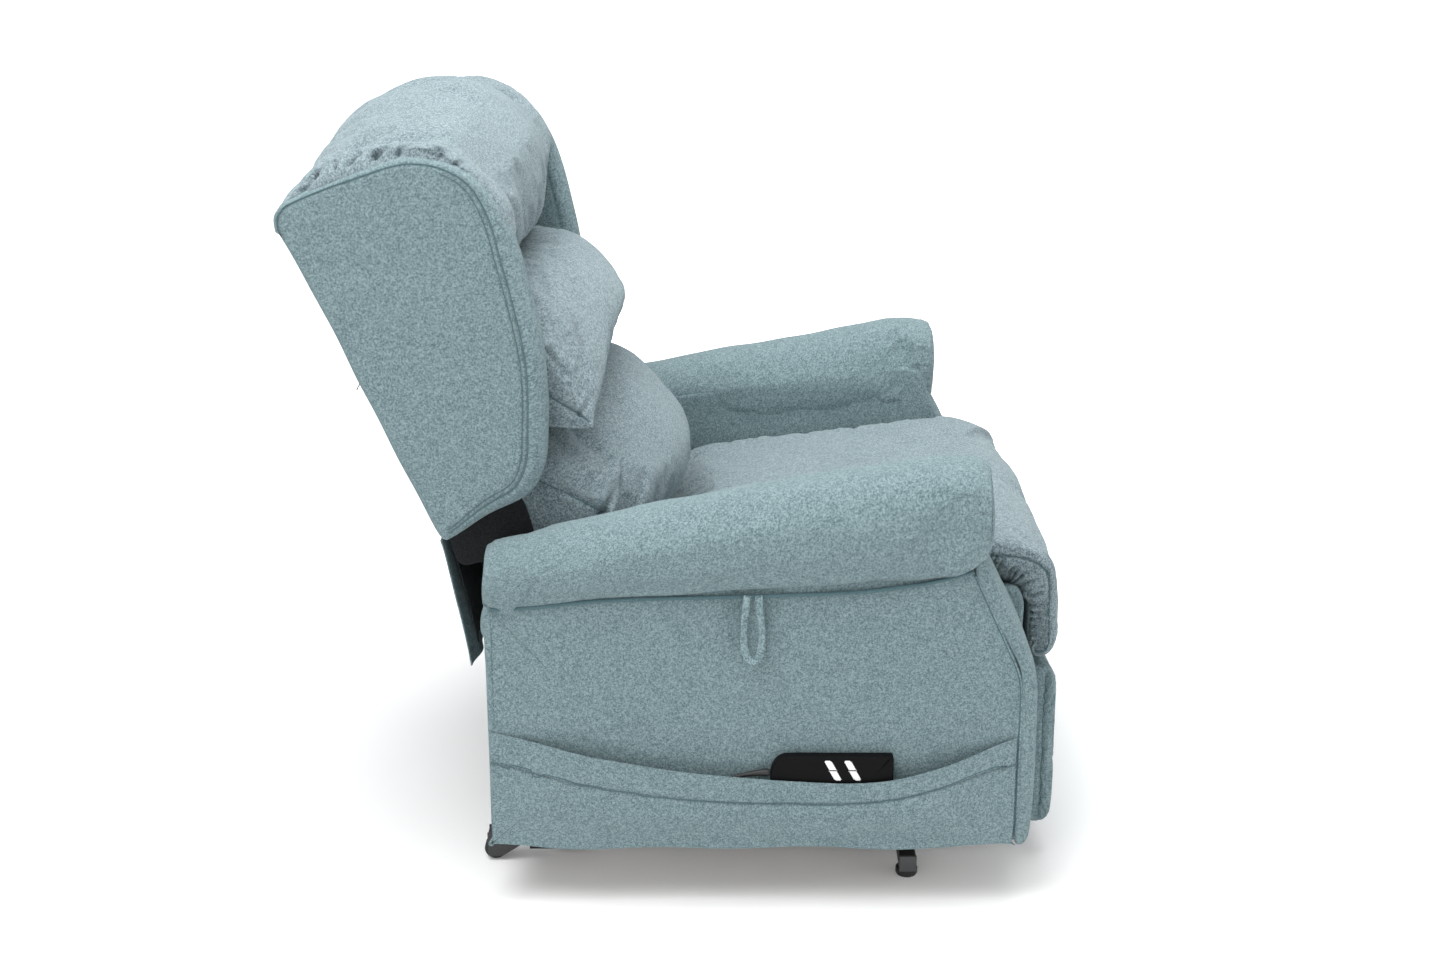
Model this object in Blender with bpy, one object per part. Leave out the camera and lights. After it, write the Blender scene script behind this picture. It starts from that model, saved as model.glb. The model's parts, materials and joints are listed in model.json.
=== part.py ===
"""Lift recliner chair: wide wing-back armchair with a lift base, reclining back and leg rest.

Frame: the chair faces -Y, +Z is up, x = 0 is the plane between the arms, z = 0 is the floor and
y = 0 is halfway along the overall depth. The sitter's right hand is at -X. All lengths in metres.
Rest pose: seat lowered, back leaning a little, leg rest folded away.
"""

import math

import bmesh
import bpy
from mathutils import Vector

# ---------------------------------------------------------------- driving dimensions
GAP = 0.0003
HALF_DEPTH = 0.5530
TOP_Z = 1.133
ARM_OUTER_X = 0.500
ARM_CENTRE_X = 0.4245
BOX_OUTER_X = 0.4750
BOX_INNER_X = 0.3450
BOX_REAR_Y = 0.2790
BOX_BOTTOM_Z = 0.0950
SEAT_HALF_X = 0.3350
DECK_Z = 0.3255
DECK_THICK = 0.0110

# lift linkage, (y, z) of each pivot
PIVOT_A = (-0.2000, 0.1700)
PIVOT_B = (-0.2256, 0.2150)
PIVOT_C = (0.1630, 0.1390)
PIVOT_D = (0.1200, 0.2173)
POST_X = (0.2360, 0.2420)
ARM_X = (0.2277, 0.2337)
HANGER_X = (0.2194, 0.2254)
SHAFT_R = 0.0060
BORE_R = 0.0063
LINK_WIDTH = 0.0240

# leg-rest linkage
LEG_T = (-0.4000, 0.3000)
LEG_K = (-0.4200, 0.0900)
LEG_Q = (-0.5050, 0.2700)
LOWER_LINK_X = (0.2420, 0.2480)
UPPER_LINK_X = (0.2500, 0.2560)
LEG_EAR_X = (0.2620, 0.2680)

# back hinge and lean
BACK_H = (0.2000, 0.3600)
BACK_LEAN = math.radians(23.6)
BACK_FOOT = (0.2700, 0.3600)
HINGE_PLATE_X = (0.3180, 0.3240)

# calf pad hinge
CALF_HINGE = (-0.5450, 0.4500)

# actuators: rear pivot, front pin, x position, and how far the pin wanders in the slotted eye
LIFT_MOUNT = (0.1850, 0.0550)
LIFT_PIN_R = 0.0850
LIFT_PIN_DEG = 31.0
LIFT_X = 0.0
LEG_MOUNT = (-0.0450, 0.2550)
LEG_PIN_R = 0.0600
LEG_PIN_DEG = -46.0
LEG_X = -0.1200
BACK_MOUNT = (0.0200, 0.2650)
BACK_PIN_R = 0.0850
BACK_PIN_DEG = -80.0
BACK_X = 0.1200
PIN_R = 0.0050
EYE_HALF = 0.0050
EAR_IN = 0.0056
EAR_OUT = 0.0106

# handset buttons: two slanted bars, each in two halves
BUTTON_Y = -0.2055
BUTTON_Z = 0.2375
BUTTON_SPLIT = 0.2215
BUTTON_LOW = 0.2055
BUTTON_SHIFTS = (0.0, -0.0280)


def rotated(pivot, radius, degrees):
    """Point at a radius and an angle from a pivot, in (y, z)."""
    a = math.radians(degrees)
    return (pivot[0] + radius * math.cos(a), pivot[1] + radius * math.sin(a))


LIFT_PIN = rotated(PIVOT_A, LIFT_PIN_R, LIFT_PIN_DEG)
LEG_PIN = rotated(LEG_T, LEG_PIN_R, LEG_PIN_DEG)
BACK_PIN = rotated(BACK_H, BACK_PIN_R, BACK_PIN_DEG)


# ---------------------------------------------------------------- materials
def material(name, colour, rough, metal=0.0):
    mat = bpy.data.materials.new(name)
    mat.use_nodes = True
    shader = mat.node_tree.nodes["Principled BSDF"]
    shader.inputs["Base Color"].default_value = (*colour, 1.0)
    shader.inputs["Roughness"].default_value = rough
    shader.inputs["Metallic"].default_value = metal
    mat.diffuse_color = (*colour, 1.0)
    return mat


def clear_scene():
    for obj in list(bpy.data.objects):
        bpy.data.objects.remove(obj, do_unlink=True)
    for mesh in list(bpy.data.meshes):
        bpy.data.meshes.remove(mesh)


# ---------------------------------------------------------------- mesh helpers
def to_object(name, bm, mat=None):
    """Turn a bmesh into an object whose faces point out."""
    bmesh.ops.recalc_face_normals(bm, faces=bm.faces)
    if bm.calc_volume(signed=True) < 0:
        bmesh.ops.reverse_faces(bm, faces=bm.faces)
    mesh = bpy.data.meshes.new(name)
    bm.to_mesh(mesh)
    bm.free()
    obj = bpy.data.objects.new(name, mesh)
    bpy.context.scene.collection.objects.link(obj)
    if mat:
        mesh.materials.append(mat)
    return obj


def finish(obj, name, mat, pivot=None, smooth=35.0):
    """Name the object, give it its one material, shade it and put its origin on its joint."""
    obj.name = name
    obj.data.name = name
    obj.data.materials.clear()
    obj.data.materials.append(mat)
    for poly in obj.data.polygons:
        poly.material_index = 0
    obj.data.shade_smooth()
    obj.data.set_sharp_from_angle(angle=math.radians(smooth))
    if pivot:
        offset = Vector(pivot)
        for vert in obj.data.vertices:
            vert.co -= offset
        obj.location = offset
    return obj


def boolean(target, tool, operation):
    """Apply one exact Boolean and remove the tool."""
    mod = target.modifiers.new("cut", "BOOLEAN")
    mod.operation = operation
    mod.solver = "EXACT"
    mod.object = tool
    bpy.context.view_layer.update()
    graph = bpy.context.evaluated_depsgraph_get()
    mesh = bpy.data.meshes.new_from_object(target.evaluated_get(graph))
    target.modifiers.clear()
    target.data = mesh
    bpy.data.objects.remove(tool, do_unlink=True)
    return target


def combine(solids, cutters=()):
    """Union of solids, less the cutters."""
    target = solids[0]
    for other in solids[1:]:
        boolean(target, other, "UNION")
    for tool in cutters:
        boolean(target, tool, "DIFFERENCE")
    return target


def box(lo, hi, edge=0.0, segments=2):
    """Box between two corners, with its edges rounded if asked."""
    bm = bmesh.new()
    bmesh.ops.create_cube(bm, size=1.0)
    for vert in bm.verts:
        vert.co = Vector(
            [(lo[i] + hi[i]) / 2 + vert.co[i] * (hi[i] - lo[i]) for i in range(3)]
        )
    if edge > 0:
        bmesh.ops.bevel(
            bm,
            geom=list(bm.edges),
            offset=edge,
            segments=segments,
            profile=0.5,
            affect="EDGES",
        )
    return to_object("box", bm)


def prism(points, x0, x1):
    """Prism along X from a closed (y, z) outline."""
    bm = bmesh.new()
    low = [bm.verts.new((x0, y, z)) for y, z in points]
    high = [bm.verts.new((x1, y, z)) for y, z in points]
    bm.faces.new(low)
    bm.faces.new(high)
    count = len(points)
    for i in range(count):
        j = (i + 1) % count
        bm.faces.new((low[i], low[j], high[j], high[i]))
    return to_object("prism", bm)


def bar(p, q, width, x0, x1, segments=4):
    """Flat link with round ends, from p to q in (y, z)."""
    heading = math.atan2(q[1] - p[1], q[0] - p[0])
    points = []
    for k in range(segments + 1):
        a = heading + math.pi / 2 + math.pi * k / segments
        points.append((p[0] + width / 2 * math.cos(a), p[1] + width / 2 * math.sin(a)))
    for k in range(segments + 1):
        a = heading - math.pi / 2 + math.pi * k / segments
        points.append((q[0] + width / 2 * math.cos(a), q[1] + width / 2 * math.sin(a)))
    return prism(points, x0, x1)


def turned(profile, centre, segments=14):
    """Solid of revolution about an X-parallel axis: profile is (x, radius) pairs."""
    bm = bmesh.new()
    rings = []
    for x, radius in profile:
        ring = []
        for k in range(segments):
            a = 2 * math.pi * k / segments
            y = centre[0] + radius * math.cos(a)
            z = centre[1] + radius * math.sin(a)
            ring.append(bm.verts.new((x, y, z)))
        rings.append(ring)
    for first, second in zip(rings, rings[1:]):
        for k in range(segments):
            j = (k + 1) % segments
            bm.faces.new((first[k], first[j], second[j], second[k]))
    bm.faces.new(rings[0])
    bm.faces.new(rings[-1])
    return to_object("turned", bm)


def rod_x(centre, radius, x0, x1, segments=16):
    """Plain round bar along X."""
    return turned([(x0, radius), (x1, radius)], centre, segments)


def resample(points, count):
    """Closed Catmull-Rom curve through the points, evenly spaced along its length."""
    fine = []
    n = len(points)
    for i in range(n):
        p0, p1, p2, p3 = (points[(i + k - 1) % n] for k in range(4))
        for k in range(12):
            t = k / 12
            fine.append(
                tuple(
                    0.5
                    * (
                        2 * p1[c]
                        + (p2[c] - p0[c]) * t
                        + (2 * p0[c] - 5 * p1[c] + 4 * p2[c] - p3[c]) * t * t
                        + (3 * p1[c] - p0[c] - 3 * p2[c] + p3[c]) * t * t * t
                    )
                    for c in range(2)
                )
            )
    lengths = [0.0]
    for i in range(len(fine)):
        a, b = fine[i], fine[(i + 1) % len(fine)]
        lengths.append(lengths[-1] + math.hypot(b[0] - a[0], b[1] - a[1]))
    out = []
    seg = 0
    for k in range(count):
        want = lengths[-1] * k / count
        while lengths[seg + 1] < want:
            seg += 1
        t = (want - lengths[seg]) / max(lengths[seg + 1] - lengths[seg], 1e-9)
        a, b = fine[seg], fine[(seg + 1) % len(fine)]
        out.append((a[0] + (b[0] - a[0]) * t, a[1] + (b[1] - a[1]) * t))
    return out


def inset(points, distance):
    """Move every point of a closed outline inwards along its own normal."""
    n = len(points)
    area = sum(
        points[i][0] * points[(i + 1) % n][1] - points[(i + 1) % n][0] * points[i][1]
        for i in range(n)
    )
    side = 1.0 if area > 0 else -1.0
    out = []
    for i in range(n):
        a, b = points[i - 1], points[(i + 1) % n]
        dy, dz = b[0] - a[0], b[1] - a[1]
        size = math.hypot(dy, dz) or 1.0
        out.append(
            (
                points[i][0] - side * dz / size * distance,
                points[i][1] + side * dy / size * distance,
            )
        )
    return out


def padded(outline, x0, x1, edge=0.02, count=28, steps=3, crown=0.0):
    """Stuffed slab: a (y, z) outline carried along X with its two ends rounded over."""
    base = resample(outline, count)
    stations = []
    for k in range(steps + 1):
        a = math.pi / 2 * k / steps
        stations.append((x0 + edge * (1 - math.cos(a)), edge * (1 - math.sin(a))))
    stations += [(x0 + x1 - x, d) for x, d in reversed(stations)]
    if crown:
        stations.insert(len(stations) // 2, ((x0 + x1) / 2, -crown))
    bm = bmesh.new()
    rings = []
    for x, distance in stations:
        ring = inset(base, distance) if distance else base
        rings.append([bm.verts.new((x, y, z)) for y, z in ring])
    for first, second in zip(rings, rings[1:]):
        for k in range(count):
            j = (k + 1) % count
            bm.faces.new((first[k], first[j], second[j], second[k]))
    bm.faces.new(rings[0])
    bm.faces.new(rings[-1])
    return to_object("padded", bm)


def mirrored(maker, name, *args):
    """Build a left and a right copy of a piece: maker(name, side, ...)."""
    return [maker(name + "_left", 1, *args), maker(name + "_right", -1, *args)]


def side_span(side, span):
    """Put a positive x span on the chosen side, low value first."""
    return (span[0], span[1]) if side > 0 else (-span[1], -span[0])


# ---------------------------------------------------------------- base
def base_frame(mat):
    solids = [box((-0.405, -0.3455, 0.014), (0.405, -0.3205, 0.039), 0.003)]
    solids.append(box((-0.3200, 0.1670, 0.006), (0.3200, 0.2050, 0.026), 0.004))
    for side in (1, -1):
        x0, x1 = side_span(side, (0.2175, 0.2425))
        solids.append(box((x0, -0.3400, 0.0150), (x1, 0.2000, 0.0380), 0.0))
        p0, p1 = side_span(side, POST_X)
        post = [(-0.3000, 0.030), (-0.2520, 0.200), (-0.2440, 0.232), (-0.2300, 0.238)]
        post += [(-0.2120, 0.234), (-0.1800, 0.185), (-0.1720, 0.165), (-0.1300, 0.030)]
        solids.append(prism(post, p0, p1))
    solids.append(box((-0.2300, 0.0800, 0.0290), (0.2300, 0.1100, 0.0370)))
    for side in (1, -1):
        e0, e1 = side_span(side, (EAR_IN, EAR_OUT))
        ear = [(0.1700, 0.020), (0.2000, 0.020), (0.1960, 0.060), (0.1850, 0.0660)]
        ear += [(0.1740, 0.060)]
        solids.append(prism(ear, LIFT_X + e0, LIFT_X + e1))
    solids.append(rod_x(LIFT_MOUNT, PIN_R, LIFT_X - EAR_OUT, LIFT_X + EAR_OUT, 16))
    cutters = [rod_x(PIVOT_A, BORE_R, -0.26, 0.26), rod_x(PIVOT_B, BORE_R, -0.26, 0.26)]
    return finish(combine(solids, cutters), "base_frame", mat)


def glide(name, side, mat):
    x = 0.3880 * side
    bm = bmesh.new()
    rings = []
    for z, radius in ((0.0, 0.0150), (0.003, 0.0165), (0.0105, 0.0165), (0.0137, 0.0120)):
        ring = []
        for k in range(20):
            a = 2 * math.pi * k / 20
            ring.append(
                bm.verts.new((x + radius * math.cos(a), -0.333 + radius * math.sin(a), z))
            )
        rings.append(ring)
    for first, second in zip(rings, rings[1:]):
        for k in range(20):
            j = (k + 1) % 20
            bm.faces.new((first[k], first[j], second[j], second[k]))
    bm.faces.new(rings[0])
    bm.faces.new(rings[-1])
    return finish(to_object(name, bm), name, mat)


def tube_cap(name, side, mat):
    x0, x1 = side_span(side, (0.4053, 0.4110))
    return finish(box((x0, -0.3460, 0.0135), (x1, -0.3200, 0.0395), 0.0015), name, mat)


def wheel_bracket(name, side, mat):
    s0, s1 = side_span(side, (0.3203, 0.3245))
    t0, t1 = side_span(side, (0.3470, 0.3510))
    ear = [(0.2300, 0.046), (0.2300, 0.040), (0.2790, 0.008), (0.3010, 0.008)]
    ear += [(0.3010, 0.046)]
    solids = [prism(ear, s0, s1), prism(ear, t0, t1)]
    b0, b1 = side_span(side, (0.3210, 0.3500))
    solids.append(box((b0, 0.2330, 0.0405), (b1, 0.3000, 0.0455)))
    solids.append(box((s0, 0.1670, 0.0060), (s1, 0.2400, 0.0455)))
    solids.append(rod_x((0.2900, 0.0170), 0.0030, min(s0, t0), max(s1, t1), 16))
    return finish(combine(solids), name, mat)


def rear_wheel(name, side, mat):
    x0, x1 = side_span(side, (0.3250, 0.3465))
    profile = [(x0, 0.0140), (x0 + 0.003, 0.0168), (x1 - 0.003, 0.0168), (x1, 0.0140)]
    wheel = turned(profile, (0.2900, 0.0170), 24)
    hub = rod_x((0.2900, 0.0170), 0.0033, -0.4, 0.4, 16)
    pivot = ((x0 + x1) / 2, 0.2900, 0.0170)
    return finish(combine([wheel], [hub]), name, mat, pivot)


def power_supply(mat):
    solids = [box((-0.1800, 0.0400, 0.0375), (-0.0700, 0.1500, 0.0850), 0.004)]
    solids.append(rod_x((0.0900, 0.0620), 0.0080, -0.0750, -0.0550, 16))
    return finish(combine(solids), "power_supply", mat)


def headed_shaft(name, centre, half, mat, head=0.0090, thick=0.0045):
    profile = [(-half - thick, head), (-half, head), (-half, SHAFT_R)]
    profile += [(half, SHAFT_R), (half, head), (half + thick, head)]
    return finish(turned(profile, centre), name, mat)


def stub_pin(name, side, centre, mat):
    x0, x1 = side_span(side, (HANGER_X[0] - GAP, ARM_X[1] + GAP))
    profile = [(x0 - 0.0018, 0.0090), (x0, 0.0090), (x0, SHAFT_R)]
    profile += [(x1, SHAFT_R), (x1, 0.0090), (x1 + 0.0018, 0.0090)]
    return finish(turned(profile, centre), name, mat)


# ---------------------------------------------------------------- lift linkage
def lift_arm_rear(mat):
    solids = [rod_x(PIVOT_A, 0.0125, -ARM_X[0] - 0.003, ARM_X[0] + 0.003)]
    for side in (1, -1):
        x0, x1 = side_span(side, ARM_X)
        solids.append(bar(PIVOT_A, PIVOT_C, LINK_WIDTH, x0, x1))
        e0, e1 = side_span(side, (EAR_IN, EAR_OUT))
        solids.append(bar(PIVOT_A, LIFT_PIN, 0.0180, LIFT_X + e0, LIFT_X + e1))
    solids.append(rod_x(LIFT_PIN, PIN_R, LIFT_X - EAR_OUT, LIFT_X + EAR_OUT, 16))
    cutters = [rod_x(PIVOT_A, BORE_R, -0.26, 0.26), rod_x(PIVOT_C, BORE_R, -0.26, 0.26)]
    return finish(combine(solids, cutters), "lift_arm_rear", mat, (0, *PIVOT_A))


def lift_arm_front(mat):
    solids = [rod_x(PIVOT_B, 0.0105, -ARM_X[0] - 0.003, ARM_X[0] + 0.003)]
    for side in (1, -1):
        x0, x1 = side_span(side, ARM_X)
        solids.append(bar(PIVOT_B, PIVOT_D, LINK_WIDTH + 0.004, x0, x1))
    cutters = [
        rod_x(PIVOT_B, BORE_R, -0.26, 0.26),
        rod_x(PIVOT_D, BORE_R + 0.0030, -0.26, 0.26),
    ]
    return finish(combine(solids, cutters), "lift_arm_front", mat, (0, *PIVOT_B))


# ---------------------------------------------------------------- actuators
def along(mount, pin):
    """Unit vectors along and across an actuator, and its length."""
    dy, dz = pin[0] - mount[0], pin[1] - mount[1]
    length = math.hypot(dy, dz)
    return (dy / length, dz / length), (-dz / length, dy / length), length


def at(mount, u, v, a, b):
    """Point a along and b across, from the mount."""
    return (mount[0] + a * u[0] + b * v[0], mount[1] + a * u[1] + b * v[1])


def local_box(mount, u, v, a0, a1, b0, b1, x0, x1):
    points = [at(mount, u, v, a, b) for a, b in ((a0, b0), (a1, b0), (a1, b1), (a0, b1))]
    return prism(points, x0, x1)


def local_rod(mount, u, v, a0, a1, radius, x, b=0.0, segments=14):
    """Round bar along the actuator's own axis."""
    bm = bmesh.new()
    rings = []
    for a in (a0, a1):
        ring = []
        for k in range(segments):
            t = 2 * math.pi * k / segments
            y, z = at(mount, u, v, a, b + radius * math.sin(t))
            ring.append(bm.verts.new((x + radius * math.cos(t), y, z)))
        rings.append(ring)
    for k in range(segments):
        j = (k + 1) % segments
        bm.faces.new((rings[0][k], rings[0][j], rings[1][j], rings[1][k]))
    bm.faces.new(rings[0])
    bm.faces.new(rings[1])
    return to_object("local_rod", bm)


def actuator_body(name, mount, pin, x, tube_end, bore_from, can_end, mat):
    """Rear eye, gearbox, motor can and outer tube, with the tube's bore open at the front."""
    u, v, length = along(mount, pin)
    solids = [local_box(mount, u, v, 0.0, 0.030, -0.009, 0.009, x - EYE_HALF, x + EYE_HALF)]
    solids.append(rod_x(mount, 0.0090, x - EYE_HALF, x + EYE_HALF, 20))
    solids.append(
        local_box(mount, u, v, 0.0240, 0.0700, -0.0210, 0.0210, x - 0.0200, x + 0.0580)
    )
    solids.append(local_rod(mount, u, v, 0.0600, tube_end, 0.0150, x))
    solids.append(local_rod(mount, u, v, 0.0600, can_end, 0.0170, x + 0.0400))
    cutters = [rod_x(mount, PIN_R + GAP, x - 0.03, x + 0.03, 16)]
    cutters.append(local_rod(mount, u, v, bore_from, tube_end + 0.02, 0.0083, x))
    return finish(combine(solids, cutters), name, mat, (x, *mount))


def actuator_rod(name, mount, pin, x, start, axial, low, high, mat):
    """Sliding rod with a slotted eye: the slot runs across the rod."""
    u, v, length = along(mount, pin)
    half_slot = PIN_R + axial + 0.0004
    half_eye = half_slot + 0.0055
    bottom = low - PIN_R - 0.0010
    top = high + PIN_R + 0.0010
    solids = [local_rod(mount, u, v, start, length - half_eye - 0.0080, 0.0080, x)]
    solids.append(
        local_box(
            mount,
            u,
            v,
            length - half_eye - 0.0140,
            length + half_eye,
            bottom - 0.0060,
            top + 0.0060,
            x - EYE_HALF,
            x + EYE_HALF,
        )
    )
    slot = local_box(
        mount,
        u,
        v,
        length - half_slot,
        length + half_slot,
        bottom,
        top,
        x - 0.02,
        x + 0.02,
    )
    return finish(combine(solids, [slot]), name, mat, (x, *mount))


# ---------------------------------------------------------------- seat chassis
def chassis_frame(mat):
    solids = [box((-0.3400, 0.2470, 0.3000), (0.3400, 0.2720, 0.3250), 0.003)]
    solids.append(box((-0.3400, -0.3600, 0.3000), (0.3400, -0.3350, 0.3250), 0.003))
    solids.append(box((-0.2200, -0.0125, 0.2850), (0.2200, 0.0125, 0.3100), 0.0))
    for side in (1, -1):
        x0, x1 = side_span(side, (0.2050, 0.2300))
        solids.append(box((x0, -0.3500, 0.3010), (x1, 0.2600, 0.3240), 0.0))
        h0, h1 = side_span(side, HANGER_X)
        hanger = [(0.0800, 0.315), (0.1020, 0.210), (0.1120, 0.200), (0.1490, 0.130)]
        hanger += [(0.1560, 0.124), (0.1700, 0.124), (0.1770, 0.130), (0.2010, 0.315)]
        solids.append(prism(hanger, h0, h1))
        e0, e1 = side_span(side, LEG_EAR_X)
        ear = [(-0.3400, 0.303), (-0.3400, 0.322), (-0.3900, 0.322), (-0.4120, 0.309)]
        ear += [(-0.4130, 0.292), (-0.4000, 0.286), (-0.3700, 0.290)]
        solids.append(prism(ear, e0, e1))
        g0, g1 = side_span(side, HINGE_PLATE_X)
        plate = [(0.2650, 0.302), (0.2650, 0.330), (0.2200, 0.374), (0.2000, 0.378)]
        plate += [(0.1850, 0.370), (0.1840, 0.350), (0.2500, 0.302)]
        solids.append(prism(plate, g0, g1))
    for x, mount in ((LEG_X, LEG_MOUNT), (BACK_X, BACK_MOUNT)):
        for side in (1, -1):
            e0, e1 = side_span(side, (EAR_IN, EAR_OUT))
            front = mount[0] - 0.0090
            rear = mount[0] + 0.0090
            ear = [(min(front, -0.011), 0.296), (front, mount[1]), (front + 0.004, mount[1] - 0.0085)]
            ear += [(rear - 0.004, mount[1] - 0.0085), (rear, mount[1]), (max(rear, 0.011), 0.296)]
            solids.append(prism(ear, x + e0, x + e1))
        solids.append(rod_x(mount, PIN_R, x - EAR_OUT, x + EAR_OUT, 16))
    cutters = []
    for pivot in (PIVOT_C, PIVOT_D, LEG_T, BACK_H):
        cutters.append(rod_x(pivot, BORE_R, -0.36, 0.36))
    return finish(combine(solids, cutters), "chassis_frame", mat, (0, *PIVOT_C))


def seat_deck(mat):
    deck = box((-0.3300, -0.4400, DECK_Z), (0.3300, 0.1300, DECK_Z + DECK_THICK), 0.003)
    return finish(deck, "seat_deck", mat, (0, *PIVOT_C))


def side_frame(name, side, mat):
    """Wooden ladder frame inside the side box."""
    x0, x1 = side_span(side, (0.3900, 0.4300))
    solids = [box((x0, -0.4550, 0.1100), (x1, -0.4150, 0.3950))]
    solids.append(box((x0, 0.2150, 0.1100), (x1, 0.2550, 0.4200)))
    solids.append(box((x0 + 0.002, -0.4300, 0.1150), (x1 - 0.002, 0.2300, 0.1500)))
    solids.append(box((x0 + 0.002, -0.4300, 0.3600), (x1 - 0.002, 0.2300, 0.3900)))
    return finish(combine(solids), name, mat, (0, *PIVOT_C))


def side_cover(name, side, mat):
    """Outer fabric panel, from the arm roll to the bottom edge."""
    x0, x1 = side_span(side, (0.4590, BOX_OUTER_X))
    outline = [(BOX_REAR_Y, 0.0980), (BOX_REAR_Y, 0.2500), (BOX_REAR_Y, 0.4500)]
    outline += [(0.1000, 0.4640), (-0.1000, 0.4740), (-0.3000, 0.4880), (-0.3780, 0.4980)]
    outline += [(-0.4120, 0.4550), (-0.4420, 0.3980), (-0.4690, 0.3400), (-0.4760, 0.2500)]
    outline += [(-0.4760, 0.1700), (-0.4750, 0.1080), (-0.4640, 0.0970), (-0.3000, 0.0940)]
    outline += [(-0.1000, 0.0950), (0.1000, 0.0940), (0.2680, 0.0960)]
    body = padded(outline, x0, x1, 0.005, 32, 1)
    return finish(body, name, mat, (0, *PIVOT_C))


def inner_cover(name, side, mat):
    """Padded inner face of the arm, beside the seat."""
    x0, x1 = side_span(side, (BOX_INNER_X, 0.3800))
    outline = [(0.2650, 0.3500), (0.2650, 0.4480), (0.2000, 0.4580), (0.0500, 0.4730)]
    outline += [(-0.1200, 0.4830), (-0.2800, 0.4960), (-0.3850, 0.5080), (-0.4280, 0.4560)]
    outline += [(-0.4560, 0.4000), (-0.4720, 0.3600), (-0.4740, 0.2200), (-0.4740, 0.1100)]
    outline += [(-0.4400, 0.1000), (-0.3900, 0.1600), (-0.3500, 0.3000), (-0.1500, 0.3400)]
    body = padded(outline, x0, x1, 0.010, 30, 1)
    return finish(body, name, mat, (0, *PIVOT_C))


def arm_pad(name, side, mat):
    """Scroll arm: an oval roll that fattens towards the front, with a domed front end."""
    stations = [
        (BOX_REAR_Y - 0.001, 0.494, 0.0500, 0.0330),
        (BOX_REAR_Y - 0.004, 0.496, 0.0560, 0.0390),
        (0.2000, 0.511, 0.0620, 0.0450),
        (0.0500, 0.537, 0.0680, 0.0550),
        (-0.1200, 0.560, 0.0720, 0.0680),
        (-0.2800, 0.580, 0.0750, 0.0740),
        (-0.3700, 0.592, 0.0755, 0.0745),
        (-0.4080, 0.592, 0.0740, 0.0720),
        (-0.4230, 0.592, 0.0680, 0.0650),
        (-0.4310, 0.592, 0.0560, 0.0520),
    ]
    count = 20
    bm = bmesh.new()
    rings = []
    for y, z, rx, rz in stations:
        ring = []
        for k in range(count):
            a = 2 * math.pi * k / count
            x = side * (ARM_CENTRE_X + rx * math.cos(a))
            ring.append(bm.verts.new((x, y, z + rz * math.sin(a))))
        rings.append(ring)
    for first, second in zip(rings, rings[1:]):
        for k in range(count):
            j = (k + 1) % count
            bm.faces.new((first[k], first[j], second[j], second[k]))
    bm.faces.new(rings[0])
    bm.faces.new(rings[-1])
    return finish(to_object(name, bm), name, mat, (0, *PIVOT_C), 60)


def front_facing(name, side, mat):
    """Padded band down the front of the side box, leaning back above the knee."""
    x0, x1 = side_span(side, (0.3470, 0.4780))
    outline = [(-0.4880, 0.0920), (-0.4990, 0.1100), (-0.5030, 0.1800), (-0.5030, 0.2900)]
    outline += [(-0.4970, 0.3650), (-0.4780, 0.4190), (-0.4520, 0.4710), (-0.4260, 0.5180)]
    outline += [(-0.4070, 0.5110), (-0.4320, 0.4570), (-0.4600, 0.4010), (-0.4785, 0.3610)]
    outline += [(-0.4805, 0.2900), (-0.4805, 0.1800), (-0.4805, 0.0980)]
    body = padded(outline, x0, x1, 0.0080, 32, 2)
    return finish(body, name, mat, (0, *PIVOT_C))


def side_pocket(mat):
    """Open-topped pouch on the right outer panel, with a sagging mouth."""
    outline = [(0.2700, 0.1000), (0.2700, 0.2720), (0.1900, 0.2560), (0.1190, 0.2400)]
    outline += [(0.0200, 0.2230), (-0.0810, 0.2130), (-0.1600, 0.2070), (-0.2390, 0.2060)]
    outline += [(-0.3100, 0.2120), (-0.3950, 0.2360), (-0.4700, 0.2610), (-0.4700, 0.1000)]
    solids = [prism(outline, -0.4965, -0.4940)]
    solids.append(box((-0.4955, -0.4690, 0.1000), (-0.4753, 0.2690, 0.1030)))
    solids.append(box((-0.4955, -0.4690, 0.1000), (-0.4753, -0.4660, 0.2580)))
    solids.append(box((-0.4955, 0.2660, 0.1000), (-0.4753, 0.2690, 0.2700)))
    solids.append(box((-0.4955, -0.3100, 0.1640), (-0.4753, -0.1120, 0.1690)))
    return finish(combine(solids), "side_pocket", mat, (0, *PIVOT_C))


def pull_loop(mat):
    """Fabric strap loop that releases the leg rest by hand."""
    outer = box((-0.4790, -0.1190, 0.3850), (-0.4755, -0.0790, 0.4600), 0.0010, 1)
    hole = box((-0.49, -0.1080, 0.3970), (-0.47, -0.0900, 0.4400))
    return finish(combine([outer], [hole]), "pull_loop", mat, (0, *PIVOT_C))


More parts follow.
